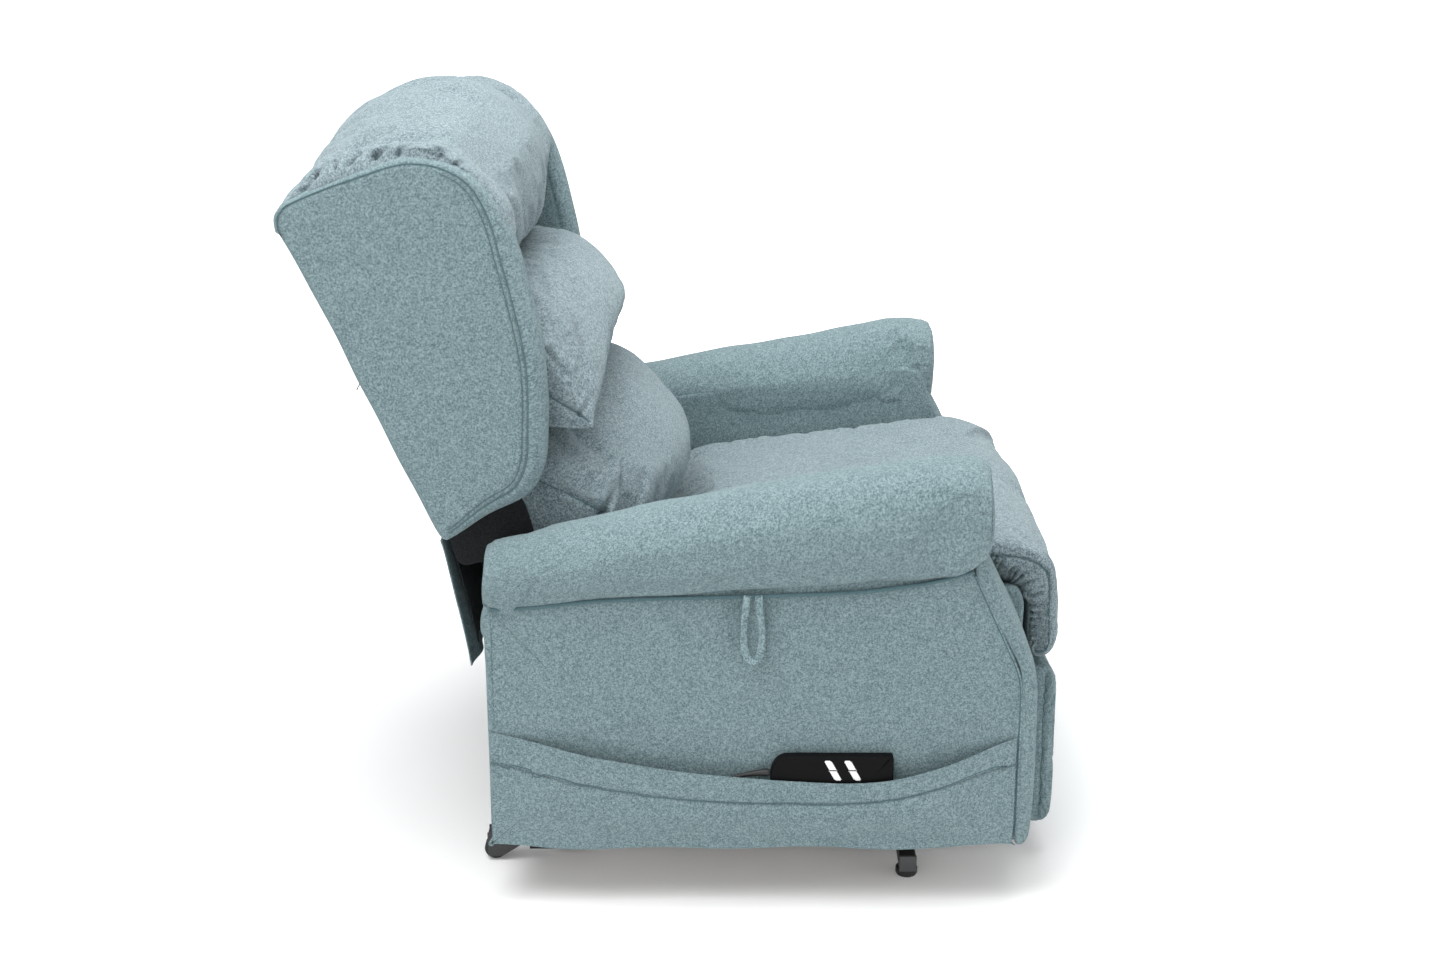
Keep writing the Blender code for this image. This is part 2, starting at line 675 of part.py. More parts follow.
def seat_cushion(mat):
    """Thick seat cushion whose nose rolls over the front rail."""
    outline = [(0.0500, 0.3400), (0.0530, 0.3700), (0.0300, 0.4000), (0.0000, 0.4240)]
    outline += [(-0.0300, 0.4400), (-0.0700, 0.4500), (-0.2000, 0.4680), (-0.3500, 0.4920)]
    outline += [(-0.4400, 0.5050), (-0.5000, 0.5000), (-0.5380, 0.4820), (-0.5460, 0.4660)]
    outline += [(-0.5380, 0.4560), (-0.5000, 0.4530), (-0.4650, 0.4500), (-0.4520, 0.4350)]
    outline += [(-0.4500, 0.3800), (-0.4450, 0.3410), (-0.4000, 0.3390), (-0.2000, 0.3390)]
    outline += [(0.0000, 0.3390)]
    body = padded(outline, -SEAT_HALF_X, SEAT_HALF_X, 0.0180, 48, 2)
    return finish(body, "seat_cushion", mat, (0, *PIVOT_C))


def front_rail(mat):
    """Padded rail under the nose of the seat."""
    outline = [(-0.4620, 0.3300), (-0.4620, 0.4380), (-0.4980, 0.4380), (-0.5000, 0.4000)]
    outline += [(-0.5000, 0.3500), (-0.4960, 0.3260)]
    body = padded(outline, -0.3400, 0.3400, 0.0060, 20, 2)
    return finish(body, "front_rail", mat, (0, *PIVOT_C))


# ---------------------------------------------------------------- handset
def slanted(shift, z0, z1, half, taper0=0.0, taper1=0.0):
    """Outline of a slanted bar between two heights; a taper narrows the end it names."""
    points = []
    levels = [(z0, half - taper0), (z0 + taper0, half), (z1 - taper1, half), (z1, half - taper1)]
    for sign in (-1, 1):
        side = [(BUTTON_Y + shift + 0.5 * (z - BUTTON_Z) + sign * w, z) for z, w in levels]
        points += side if sign < 0 else side[::-1]
    return [p for i, p in enumerate(points) if p != points[i - 1]]


def handset_case(mat):
    """Flat handset with one rounded end and two slanted button wells."""
    outline = [(-0.1240, 0.1700), (-0.1240, 0.2210), (-0.1262, 0.2300), (-0.1320, 0.2380)]
    outline += [(-0.1400, 0.2422), (-0.1480, 0.2430), (-0.2970, 0.2430), (-0.3000, 0.2400)]
    outline += [(-0.3000, 0.1700)]
    cutters = []
    for shift in BUTTON_SHIFTS:
        well = slanted(shift, BUTTON_LOW - 0.0004, BUTTON_Z + 0.0004, 0.0056, 0.0024, 0.0024)
        cutters.append(prism(well, -0.4950, -0.4900))
    body = combine([prism(outline, -0.4930, -0.4765)], cutters)
    return finish(body, "handset_case", mat, (-0.485, -0.212, 0.17))


def handset_button(index, mat):
    """One half of a slanted bar: buttons 1 and 3 are the upper halves."""
    shift = BUTTON_SHIFTS[index // 2]
    if index % 2 == 0:
        outline = slanted(shift, BUTTON_SPLIT + 0.0002, BUTTON_Z, 0.0052, 0.0, 0.0024)
    else:
        outline = slanted(shift, BUTTON_LOW, BUTTON_SPLIT - 0.0002, 0.0052, 0.0024, 0.0)
    centre = (-0.4936, outline[0][0], outline[0][1])
    return finish(prism(outline, -0.4936, -0.4915), "handset_button_%d" % (index + 1), mat, centre)


# ---------------------------------------------------------------- back
def back_point(s, d):
    """Point s up the back and d forward of its rear face, in (y, z)."""
    up = (math.sin(BACK_LEAN), math.cos(BACK_LEAN))
    fwd = (-math.cos(BACK_LEAN), math.sin(BACK_LEAN))
    return (
        BACK_FOOT[0] + s * up[0] + d * fwd[0],
        BACK_FOOT[1] + s * up[1] + d * fwd[1],
    )


def back_slab(s0, s1, d0, d1, x0, x1):
    points = [back_point(s, d) for s, d in ((s0, d0), (s1, d0), (s1, d1), (s0, d1))]
    return prism(points, x0, x1)


def back_frame(mat):
    solids = [rod_x(BACK_H, 0.0110, -0.3155, 0.3155)]
    for side in (1, -1):
        x0, x1 = side_span(side, (0.2850, 0.3080))
        solids.append(back_slab(-0.0300, 0.5600, 0.0500, 0.0720, x0, x1))
        e0, e1 = side_span(side, (EAR_IN, EAR_OUT))
        solids.append(bar(BACK_H, BACK_PIN, 0.0180, BACK_X + e0, BACK_X + e1))
    for s in (0.1500, 0.3400, 0.5350):
        solids.append(back_slab(s, s + 0.0220, 0.0510, 0.0710, -0.2900, 0.2900))
    solids.append(rod_x(BACK_PIN, PIN_R, BACK_X - EAR_OUT, BACK_X + EAR_OUT, 16))
    return finish(
        combine(solids, [rod_x(BACK_H, BORE_R, -0.36, 0.36)]),
        "back_frame",
        mat,
        (0, *BACK_H),
    )


def back_panel(mat):
    body = back_slab(0.1700, 0.6100, 0.0060, 0.0260, -0.3480, 0.3480)
    return finish(body, "back_panel", mat, (0, *BACK_H))


def wing(name, side, mat):
    """Side wing: a tall padded ear that curves forward and is pointed at its rear top."""
    x0, x1 = side_span(side, (0.3490, 0.4100))
    outline = [(0.5530, 0.9900), (0.5310, 1.0260), (0.4690, 1.0520), (0.3870, 1.0790)]
    outline += [(0.3470, 1.0820), (0.3070, 1.0720), (0.2680, 1.0460), (0.2300, 0.9850)]
    outline += [(0.2060, 0.9020), (0.1880, 0.8040), (0.1870, 0.7030), (0.1920, 0.6450)]
    outline += [(0.2150, 0.6010), (0.2720, 0.5710), (0.3380, 0.5340), (0.3560, 0.5600)]
    outline += [(0.4000, 0.6580), (0.4500, 0.7720), (0.5000, 0.8860)]
    body = padded(outline, x0, x1, 0.0140, 36, 2)
    return finish(body, name, mat, (0, *BACK_H))


def head_cushion(mat):
    outline = [(0.4900, 0.9400), (0.5320, 1.0050), (0.5200, 1.0480), (0.4830, 1.0870)]
    outline += [(0.4330, 1.1160), (0.3720, TOP_Z - 0.001), (0.3190, 1.1240), (0.2600, 1.0830)]
    outline += [(0.2220, 1.0250), (0.2130, 0.9700), (0.2220, 0.9300), (0.2600, 0.8960)]
    outline += [(0.3200, 0.8820), (0.3700, 0.8920), (0.4300, 0.9160)]
    body = padded(outline, -0.3480, 0.3480, 0.0300, 30, 2)
    return finish(body, "head_cushion", mat, (0, *BACK_H))


def middle_cushion(mat):
    outline = [(0.3900, 0.8750), (0.3300, 0.8740), (0.2600, 0.8850), (0.1980, 0.8760)]
    outline += [(0.1500, 0.8530), (0.1130, 0.8170), (0.0990, 0.7770), (0.1180, 0.7380)]
    outline += [(0.1550, 0.7170), (0.2400, 0.7080), (0.3260, 0.7120), (0.3420, 0.7500)]
    outline += [(0.3730, 0.8250)]
    body = padded(outline, -0.3480, 0.3480, 0.0240, 28, 2)
    return finish(body, "middle_cushion", mat, (0, *BACK_H))


def lower_cushion(mat):
    outline = [(0.3150, 0.7030), (0.2400, 0.7000), (0.1400, 0.7080), (0.0760, 0.6860)]
    outline += [(0.0290, 0.6300), (0.0010, 0.5800), (-0.0020, 0.5450), (0.0060, 0.5060)]
    outline += [(0.0300, 0.4860), (0.0900, 0.4780), (0.1700, 0.4780), (0.2180, 0.4880)]
    outline += [(0.2400, 0.5360), (0.2800, 0.6250)]
    body = padded(outline, -0.3400, 0.3400, 0.0240, 28, 2)
    return finish(body, "lower_cushion", mat, (0, *BACK_H))


def rear_flap(mat):
    """Loose curtain below the rear panel."""
    outline = [(0.3560, 0.5150), (0.3480, 0.5150), (0.3380, 0.4770), (0.3170, 0.3900)]
    outline += [(0.3060, 0.3200), (0.3130, 0.3200), (0.3250, 0.3880), (0.3460, 0.4750)]
    body = prism(outline, -0.3100, 0.3100)
    return finish(body, "rear_flap", mat, (0, *BACK_H))


# ---------------------------------------------------------------- leg rest
def leg_lower_links(mat):
    solids = [rod_x(LEG_T, 0.0110, -0.2470, 0.2470)]
    for side in (1, -1):
        x0, x1 = side_span(side, LOWER_LINK_X)
        solids.append(bar(LEG_T, LEG_K, 0.0220, x0, x1))
        p0, p1 = side_span(side, (LOWER_LINK_X[0] + 0.001, 0.2595))
        solids.append(rod_x(LEG_K, SHAFT_R, p0, p1, 20))
        e0, e1 = side_span(side, (EAR_IN, EAR_OUT))
        solids.append(bar(LEG_T, LEG_PIN, 0.0160, LEG_X + e0, LEG_X + e1))
    solids.append(rod_x(LEG_PIN, PIN_R, LEG_X - EAR_OUT, LEG_X + EAR_OUT, 16))
    body = combine(solids, [rod_x(LEG_T, BORE_R, -0.30, 0.30)])
    return finish(body, "leg_lower_links", mat, (0, *LEG_T))


def leg_upper_links(mat):
    """Left and right upper links, tied by a cross rod behind the footrest board."""
    solids = []
    tie = (
        LEG_K[0] + 0.55 * (LEG_Q[0] - LEG_K[0]),
        LEG_K[1] + 0.55 * (LEG_Q[1] - LEG_K[1]),
    )
    solids.append(rod_x(tie, 0.0060, -0.2530, 0.2530, 16))
    for side in (1, -1):
        x0, x1 = side_span(side, UPPER_LINK_X)
        solids.append(bar(LEG_K, LEG_Q, 0.0200, x0, x1))
    cutters = [rod_x(LEG_K, BORE_R, -0.30, 0.30), rod_x(LEG_Q, BORE_R, -0.30, 0.30)]
    return finish(combine(solids, cutters), "leg_upper_links", mat, (0, *LEG_K))


def footrest_bracket(mat):
    """Steel channel behind the board, with an ear and a pivot pin at each upper link."""
    solids = [box((-0.2900, -0.5175, 0.2050), (0.2900, -0.5130, 0.2450))]
    for side in (1, -1):
        x0, x1 = side_span(side, (0.2590, 0.2640))
        ear = [(-0.5160, 0.2100), (-0.5160, 0.2850), (-0.5040, 0.2830), (-0.4940, 0.2760)]
        ear += [(-0.4940, 0.2640), (-0.5030, 0.2100)]
        solids.append(prism(ear, x0, x1))
        p0, p1 = side_span(side, (0.2470, 0.2620))
        solids.append(rod_x(LEG_Q, SHAFT_R, p0, p1, 20))
    return finish(combine(solids), "footrest_bracket", mat, (0, *LEG_Q))


def footrest_board(mat):
    outline = [(-0.5190, 0.0660), (-0.5185, 0.1500), (-0.5185, 0.2300), (-0.5190, 0.2960)]
    outline += [(-0.5260, 0.3050), (-0.5420, 0.3010), (-0.5500, 0.2800), (-0.5530, 0.2300)]
    outline += [(-0.5530, 0.1500), (-0.5520, 0.0900), (-0.5430, 0.0600), (-0.5260, 0.0550)]
    body = padded(outline, -SEAT_HALF_X, SEAT_HALF_X, 0.0120, 26, 2)
    return finish(body, "footrest_board", mat, (0, *LEG_Q))


def calf_pad(mat):
    """Short padded apron hung from the seat's nose, in front of the rail."""
    outline = [(-0.5450, 0.4480), (-0.5250, 0.4500), (-0.5090, 0.4440), (-0.5050, 0.4000)]
    outline += [(-0.5050, 0.3650), (-0.5080, 0.3400), (-0.5250, 0.3320), (-0.5400, 0.3380)]
    outline += [(-0.5470, 0.3600), (-0.5490, 0.4050)]
    body = padded(outline, -0.3300, 0.3300, 0.0100, 24, 2)
    return finish(body, "calf_pad", mat, (0, *CALF_HINGE))


# ---------------------------------------------------------------- assembly
def build():
    clear_scene()
    steel = material("black_steel", (0.025, 0.025, 0.028), 0.45, 0.6)
    bright = material("zinc_steel", (0.55, 0.55, 0.56), 0.35, 1.0)
    plastic = material("black_plastic", (0.02, 0.02, 0.022), 0.5)
    grey = material("grey_plastic", (0.45, 0.46, 0.46), 0.5)
    white = material("white_plastic", (0.80, 0.80, 0.78), 0.4)
    rubber = material("black_rubber", (0.03, 0.03, 0.03), 0.8)
    wood = material("plywood", (0.55, 0.40, 0.25), 0.7)
    weave = material("teal_weave", (0.23, 0.36, 0.37), 0.9)
    soft = material("teal_soft", (0.28, 0.38, 0.39), 0.9)
    lining = material("black_lining", (0.03, 0.03, 0.035), 0.9)

    base_frame(steel)
    mirrored(glide, "floor_glide", plastic)
    mirrored(tube_cap, "tube_cap", grey)
    mirrored(wheel_bracket, "wheel_bracket", steel)
    mirrored(rear_wheel, "rear_wheel", rubber)
    power_supply(plastic)
    headed_shaft("lift_shaft_rear_arm", PIVOT_A, POST_X[1] + GAP, bright)
    headed_shaft("lift_shaft_front_arm", PIVOT_B, POST_X[1] + GAP, bright)
    lift_arm_rear(steel)
    lift_arm_front(steel)
    actuator_body("lift_motor", LIFT_MOUNT, LIFT_PIN, LIFT_X, 0.235, 0.110, 0.165, plastic)
    actuator_rod(
        "lift_rod", LIFT_MOUNT, LIFT_PIN, LIFT_X, 0.125, 0.0012, -0.0076, 0.0106, bright
    )

    chassis_frame(steel)
    headed_shaft("chassis_shaft", PIVOT_C, ARM_X[1] + GAP, bright, 0.0090, 0.0018)
    stub_pin("front_arm_pin_left", 1, PIVOT_D, bright)
    stub_pin("front_arm_pin_right", -1, PIVOT_D, bright)
    headed_shaft("leg_rest_shaft", LEG_T, LEG_EAR_X[1] + GAP, bright)
    headed_shaft("back_shaft", BACK_H, HINGE_PLATE_X[1] + GAP, bright)
    seat_deck(lining)
    mirrored(side_frame, "side_frame", wood)
    mirrored(side_cover, "side_cover", weave)
    mirrored(inner_cover, "inner_cover", weave)
    mirrored(arm_pad, "arm_pad", weave)
    mirrored(front_facing, "front_facing", weave)
    side_pocket(weave)
    pull_loop(weave)
    seat_cushion(soft)
    front_rail(weave)
    handset_case(plastic)
    for index in range(4):
        handset_button(index, white)

    back_frame(steel)
    back_panel(weave)
    mirrored(wing, "wing", weave)
    head_cushion(soft)
    middle_cushion(soft)
    lower_cushion(soft)
    rear_flap(lining)
    actuator_body("back_motor", BACK_MOUNT, BACK_PIN, BACK_X, 0.125, 0.033, 0.115, plastic)
    actuator_rod(
        "back_rod", BACK_MOUNT, BACK_PIN, BACK_X, 0.082, 0.0006, -0.0015, 0.0054, bright
    )

    leg_lower_links(steel)
    leg_upper_links(steel)
    footrest_bracket(steel)
    footrest_board(weave)
    calf_pad(soft)
    actuator_body("leg_motor", LEG_MOUNT, LEG_PIN, LEG_X, 0.205, 0.090, 0.150, plastic)
    actuator_rod(
        "leg_rod", LEG_MOUNT, LEG_PIN, LEG_X, 0.105, 0.0020, -0.0145, 0.0105, bright
    )


build()
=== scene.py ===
"""Looks of the wing-back lift recliner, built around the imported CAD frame."""

import json
import math

import bmesh
import bpy
import numpy as np
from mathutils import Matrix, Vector


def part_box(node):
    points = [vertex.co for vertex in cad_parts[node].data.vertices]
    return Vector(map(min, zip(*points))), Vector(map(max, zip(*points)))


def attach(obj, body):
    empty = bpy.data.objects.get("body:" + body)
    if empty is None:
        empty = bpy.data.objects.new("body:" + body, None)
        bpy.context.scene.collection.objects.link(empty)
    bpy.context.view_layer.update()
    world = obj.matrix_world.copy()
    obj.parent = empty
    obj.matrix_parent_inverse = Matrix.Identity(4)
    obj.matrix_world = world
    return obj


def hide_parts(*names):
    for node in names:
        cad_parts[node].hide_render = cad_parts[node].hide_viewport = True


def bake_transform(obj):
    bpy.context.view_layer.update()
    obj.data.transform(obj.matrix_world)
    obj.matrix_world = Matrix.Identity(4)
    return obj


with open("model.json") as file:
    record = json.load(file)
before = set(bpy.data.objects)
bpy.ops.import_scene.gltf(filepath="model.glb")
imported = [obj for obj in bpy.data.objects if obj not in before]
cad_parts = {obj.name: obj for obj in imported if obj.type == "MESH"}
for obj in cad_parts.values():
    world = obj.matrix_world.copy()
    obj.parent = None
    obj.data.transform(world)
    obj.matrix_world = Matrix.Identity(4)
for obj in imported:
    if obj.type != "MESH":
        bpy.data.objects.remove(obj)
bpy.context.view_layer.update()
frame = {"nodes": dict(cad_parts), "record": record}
NODES = frame["nodes"]
SIDES = ((1, "left"), (-1, "right"))
LEAN = math.radians(23.6)
SIM_FRAMES = 20


# ------------------------------------------------------------------ node materials
class Nodes:
    """Small helper that writes shader maths as calls."""

    def __init__(self, name):
        self.mat = bpy.data.materials.new(name)
        self.mat.use_nodes = True
        self.tree = self.mat.node_tree
        self.bsdf = self.tree.nodes["Principled BSDF"]

    def new(self, kind, **settings):
        node = self.tree.nodes.new(kind)
        for key, value in settings.items():
            setattr(node, key, value)
        return node

    def link(self, value, socket):
        if isinstance(value, (int, float)):
            socket.default_value = value
        elif isinstance(value, tuple):
            socket.default_value = value if len(value) == len(socket.default_value) else (*value, 1.0)
        else:
            self.tree.links.new(value, socket)

    def math(self, operation, a, b=0.0, clamp=False):
        node = self.new("ShaderNodeMath", operation=operation, use_clamp=clamp)
        self.link(a, node.inputs[0])
        self.link(b, node.inputs[1])
        return node.outputs[0]

    def mix(self, factor, a, b, blend="MIX"):
        node = self.new("ShaderNodeMix", data_type="RGBA", blend_type=blend)
        self.link(factor, node.inputs[0])
        self.link(a, node.inputs[6])
        self.link(b, node.inputs[7])
        return node.outputs[2]

    def noise(self, vector, scale, detail, rough=0.5):
        node = self.new("ShaderNodeTexNoise")
        self.link(vector, node.inputs["Vector"])
        node.inputs["Scale"].default_value = scale
        node.inputs["Detail"].default_value = detail
        node.inputs["Roughness"].default_value = rough
        return node.outputs["Fac"]

    def span(self, value, low, high, to_low=0.0, to_high=1.0):
        node = self.new("ShaderNodeMapRange", clamp=True)
        self.link(value, node.inputs[0])
        for i, number in enumerate((low, high, to_low, to_high)):
            node.inputs[i + 1].default_value = number
        return node.outputs[0]

    def bump(self, height, distance, strength):
        node = self.new("ShaderNodeBump")
        node.inputs["Strength"].default_value = strength
        node.inputs["Distance"].default_value = distance
        self.link(height, node.inputs["Height"])
        return node.outputs[0]

    def out(self, **sockets):
        for key, value in sockets.items():
            self.link(value, self.bsdf.inputs[key.replace("_", " ")])
        return self.mat


def tint(colour, factor, more=0.0):
    return tuple(min(1.0, factor * c + more) for c in colour)


def fabric(name, light, dark, pitch, contrast, grain, bump, sheen=0.25):
    """Plain weave of light and dark threads laid out in metres by the UV map."""
    n = Nodes(name)
    uv = n.new("ShaderNodeUVMap", uv_map="UVMap").outputs[0]
    split = n.new("ShaderNodeSeparateXYZ")
    n.link(uv, split.inputs[0])
    place = n.new("ShaderNodeTexCoord").outputs["Object"]
    u = n.math("DIVIDE", split.outputs[0], pitch)
    v = n.math("DIVIDE", split.outputs[1], pitch)
    wave_u = n.math("SINE", n.math("MULTIPLY", u, math.pi))
    wave_v = n.math("SINE", n.math("MULTIPLY", v, math.pi))
    cross = n.math("MULTIPLY", wave_u, wave_v)
    dome = n.math("POWER", n.math("ABSOLUTE", cross), 0.55)
    over = n.span(cross, -0.18, 0.18)

    def random_at(a, b):
        cell = n.new("ShaderNodeCombineXYZ")
        n.link(n.math("FLOOR", a), cell.inputs[0])
        n.link(n.math("FLOOR", b), cell.inputs[1])
        white = n.new("ShaderNodeTexWhiteNoise", noise_dimensions="2D")
        n.link(cell.outputs[0], white.inputs["Vector"])
        return white.outputs[0]

    def add(total, value, amount):
        return n.math("ADD", total, n.math("MULTIPLY", n.math("SUBTRACT", value, 0.5), amount))

    weft = random_at(n.math("DIVIDE", n.math("ADD", u, n.math("MULTIPLY", n.math("FLOOR", v), 1.3)), 2.2), v)
    warp = random_at(u, n.math("DIVIDE", n.math("ADD", v, n.math("MULTIPLY", n.math("FLOOR", u), 0.9)), 2.2))
    speck = random_at(n.math("DIVIDE", u, 1.6), n.math("DIVIDE", v, 1.6))
    fine = n.noise(place, 900.0, 1.0, 0.5)
    patches = n.noise(place, 7.0, 3.0)
    tone = add(0.5, over, contrast)
    for part, share in ((weft, grain), (warp, grain), (speck, grain * 0.9), (fine, grain * 0.4), (patches, 0.14)):
        tone = add(tone, part, share)
    tone = n.math("MAXIMUM", n.math("MINIMUM", tone, 1.25), -0.15)
    colour = n.mix(n.span(tone, -0.15, 1.25), dark, light)
    gap = n.span(dome, 0.0, 0.5, 0.72, 1.0)
    colour = n.mix(1.0, colour, n.mix(gap, (0.45, 0.5, 0.52), (1.0, 1.0, 1.0)), "MULTIPLY")
    # painted shade: the seam attribute darkens the colour towards a deep tint of the dark thread along grooves, in
    # fold creases and under the arm roll
    seam = n.new("ShaderNodeAttribute", attribute_name="seam").outputs["Fac"]
    colour = n.mix(n.math("MULTIPLY", seam, 0.62, clamp=True), colour, tint(dark, 0.32))
    height = n.math("ADD", dome, n.math("MULTIPLY", fine, 0.5))
    normal = n.bump(height, bump, 0.75)
    rough = n.span(speck, 0.0, 1.0, 0.82, 0.97)
    n.bsdf.inputs["Sheen Roughness"].default_value = 0.55
    n.bsdf.inputs["Sheen Tint"].default_value = (0.80, 0.93, 0.96, 1.0)
    n.bsdf.inputs["Specular IOR Level"].default_value = 0.22
    return n.out(Base_Color=colour, Roughness=rough, Normal=normal, Sheen_Weight=sheen)


def hard(name, colour, rough, scale, bump, dust, spec=0.5):
    """Painted, plated or moulded surface with fine grain, dust and a lighter tint on sharp convex edges."""
    n = Nodes(name)
    place = n.new("ShaderNodeTexCoord").outputs["Object"]
    grain = n.noise(place, scale, 3.0, 0.6)
    broad = n.noise(place, 9.0, 3.0)
    edge = n.new("ShaderNodeNewGeometry").outputs["Pointiness"]
    shade = n.mix(n.span(broad, 0.3, 0.7), tint(colour, 0.82), tint(colour, 1.12))
    shade = n.mix(n.span(grain, 0.52, 0.72, 0.0, dust), shade, (0.30, 0.30, 0.29))
    # lighter tint where the surface is sharp and convex
    shade = n.mix(n.span(edge, 0.52, 0.60, 0.0, 0.35), shade, tint(colour, 1.5, 0.04))
    roughness = n.span(n.math("ADD", grain, broad), 0.7, 1.3, rough - 0.12, min(1.0, rough + 0.12))
    n.bsdf.inputs["Specular IOR Level"].default_value = spec
    return n.out(Base_Color=shade, Roughness=roughness, Normal=n.bump(grain, bump, 0.6))


def brushed(name, colour, rough):
    """Plated steel with fine turning marks."""
    n = Nodes(name)
    place = n.new("ShaderNodeTexCoord").outputs["Object"]
    stretch = n.new("ShaderNodeMapping")
    stretch.inputs["Scale"].default_value = (900.0, 40.0, 40.0)
    n.link(place, stretch.inputs["Vector"])
    lines = n.noise(stretch.outputs[0], 1.0, 3.0, 0.7)
    broad = n.noise(place, 25.0, 2.0)
    shade = n.mix(n.span(broad, 0.3, 0.7), tint(colour, 0.75), colour)
    roughness = n.span(lines, 0.3, 0.7, rough - 0.08, rough + 0.12)
    return n.out(Base_Color=shade, Metallic=1.0, Roughness=roughness, Normal=n.bump(lines, 0.0001, 0.5))


def timber(name):
    """Bare plywood with growth rings drawn out along the board."""
    n = Nodes(name)
    place = n.new("ShaderNodeTexCoord").outputs["Object"]
    stretch = n.new("ShaderNodeMapping")
    stretch.inputs["Scale"].default_value = (60.0, 6.0, 60.0)
    n.link(place, stretch.inputs["Vector"])
    rings = n.noise(stretch.outputs[0], 1.0, 5.0, 0.6)
    pores = n.noise(stretch.outputs[0], 9.0, 2.0)
    colour = n.mix(n.span(rings, 0.35, 0.65), (0.36, 0.22, 0.11), (0.60, 0.43, 0.25))
    colour = n.mix(n.span(pores, 0.6, 0.75, 0.0, 0.4), colour, (0.18, 0.10, 0.05))
    return n.out(Base_Color=colour, Roughness=n.span(pores, 0.3, 0.7, 0.6, 0.8), Normal=n.bump(pores, 0.0003, 0.5))


WEAVE = fabric("teal_weave", (0.300, 0.402, 0.423), (0.096, 0.156, 0.170), 0.0012, 0.55, 0.85, 0.0007)
SOFT = fabric("teal_soft", (0.330, 0.402, 0.428), (0.084, 0.128, 0.145), 0.0012, 0.40, 0.85, 0.0004, 0.35)
PIPING = fabric("teal_piping", (0.330, 0.440, 0.460), (0.085, 0.145, 0.160), 0.0016, 0.5, 0.8, 0.0004)
THREAD = fabric("thread", (0.120, 0.205, 0.225), (0.050, 0.095, 0.108), 0.0006, 0.5, 0.5, 0.0001, 0.1)
LINING = fabric("black_lining", (0.024, 0.025, 0.028), (0.006, 0.006, 0.007), 0.0012, 0.5, 0.6, 0.0002, 0.1)
BLACK_STEEL = hard("black_steel", (0.022, 0.022, 0.024), 0.42, 220.0, 0.00015, 0.06)
ZINC = brushed("zinc_steel", (0.56, 0.56, 0.57), 0.32)
BLACK_PLASTIC = hard("black_plastic", (0.014, 0.014, 0.015), 0.48, 700.0, 0.00008, 0.03)
CASE_PLASTIC = hard("handset_plastic", (0.003, 0.003, 0.0035), 0.6, 900.0, 0.00005, 0.0, spec=0.12)
GREY_PLASTIC = hard("grey_plastic", (0.060, 0.064, 0.066), 0.5, 500.0, 0.0001, 0.05)
WHITE_PLASTIC = hard("white_plastic", (0.80, 0.81, 0.80), 0.38, 600.0, 0.00004, 0.03)
RUBBER = hard("black_rubber", (0.018, 0.018, 0.018), 0.75, 300.0, 0.0002, 0.12)
PLYWOOD = timber("plywood")

SLOT_MATERIAL = {
    "black_steel": BLACK_STEEL,
    "zinc_steel": ZINC,
    "black_plastic": BLACK_PLASTIC,
    "grey_plastic": GREY_PLASTIC,
    "white_plastic": WHITE_PLASTIC,
    "black_rubber": RUBBER,
    "plywood": PLYWOOD,
    "teal_weave": WEAVE,
    "teal_soft": SOFT,
    "black_lining": LINING,
}


# ------------------------------------------------------------------ curves and sheets
def metres(text, columns=2):
    """Rows of numbers written in tenths of a millimetre, as metres."""
    return np.array(text.replace(",", " ").split(), float).reshape(-1, columns) / 1e4


def cubic(a, b, c, d, t):
    """Catmull-Rom step from b to c."""
    return 0.5 * (2 * b + (c - a) * t + (2 * a - 5 * b + 4 * c - d) * t**2 + (3 * b - a - 3 * c + d) * t**3)


def catmull(points, closed=True, per=10):
    """Dense Catmull-Rom path through control points of any dimension."""
    p = np.asarray(points, float)
    n = len(p)
    t = np.linspace(0.0, 1.0, per, endpoint=False)[:, None]
    out = []
    for i in range(n if closed else n - 1):
        if closed:
            a, b, c, d = p[i - 1], p[i], p[(i + 1) % n], p[(i + 2) % n]
        else:
            a, b, c, d = p[max(i - 1, 0)], p[i], p[i + 1], p[min(i + 2, n - 1)]
        out.append(cubic(a, b, c, d, t))
    out = np.concatenate(out)
    return out if closed else np.vstack([out, p[-1]])


def spaced(path, count, closed=True):
    """Points at equal steps along a path."""
    ring = np.vstack([path, path[:1]]) if closed else path
    arc = np.concatenate([[0.0], np.cumsum(np.linalg.norm(np.diff(ring, axis=0), axis=1))])
    at = np.linspace(0.0, arc[-1], count, endpoint=not closed)
    return np.stack([np.interp(at, arc, ring[:, k]) for k in range(path.shape[1])], 1)


def nearest(points, line):
    """Nearest point on a polyline for every point, and the distance."""
    best = np.full(len(points), 1e9)
    spot = np.zeros_like(points)
    for a, b in zip(line[:-1], line[1:]):
        ab = b - a
        t = np.clip(((points - a) @ ab) / max(ab @ ab, 1e-12), 0.0, 1.0)
        q = a + t[:, None] * ab
        d = np.linalg.norm(points - q, axis=1)
        closer = d < best
        best[closer] = d[closer]
        spot[closer] = q[closer]
    return spot, best


def unit(vectors):
    return vectors / np.maximum(np.linalg.norm(vectors, axis=-1, keepdims=True), 1e-12)


def across(line):
    """Unit normals of an open (y, z) line."""
    tangent = unit(np.gradient(line, axis=0))
    return np.column_stack([-tangent[:, 1], tangent[:, 0]])


def smooth01(x):
    x = np.clip(x, 0.0, 1.0)
    return x * x * (3 - 2 * x)


def value_noise(points, scale, seed):
    """Smooth noise of about -1 to 1 at 3-D points: a few sines with fixed random phases."""
    r = np.random.default_rng(seed)
    total = np.zeros(points.shape[:-1])
    for _ in range(7):
        k = r.normal(size=3)
        k = k / np.linalg.norm(k) * scale * r.uniform(0.6, 1.5)
        total += np.sin(points @ k * 2 * math.pi + r.uniform(0, 2 * math.pi))
    return total / 3.0


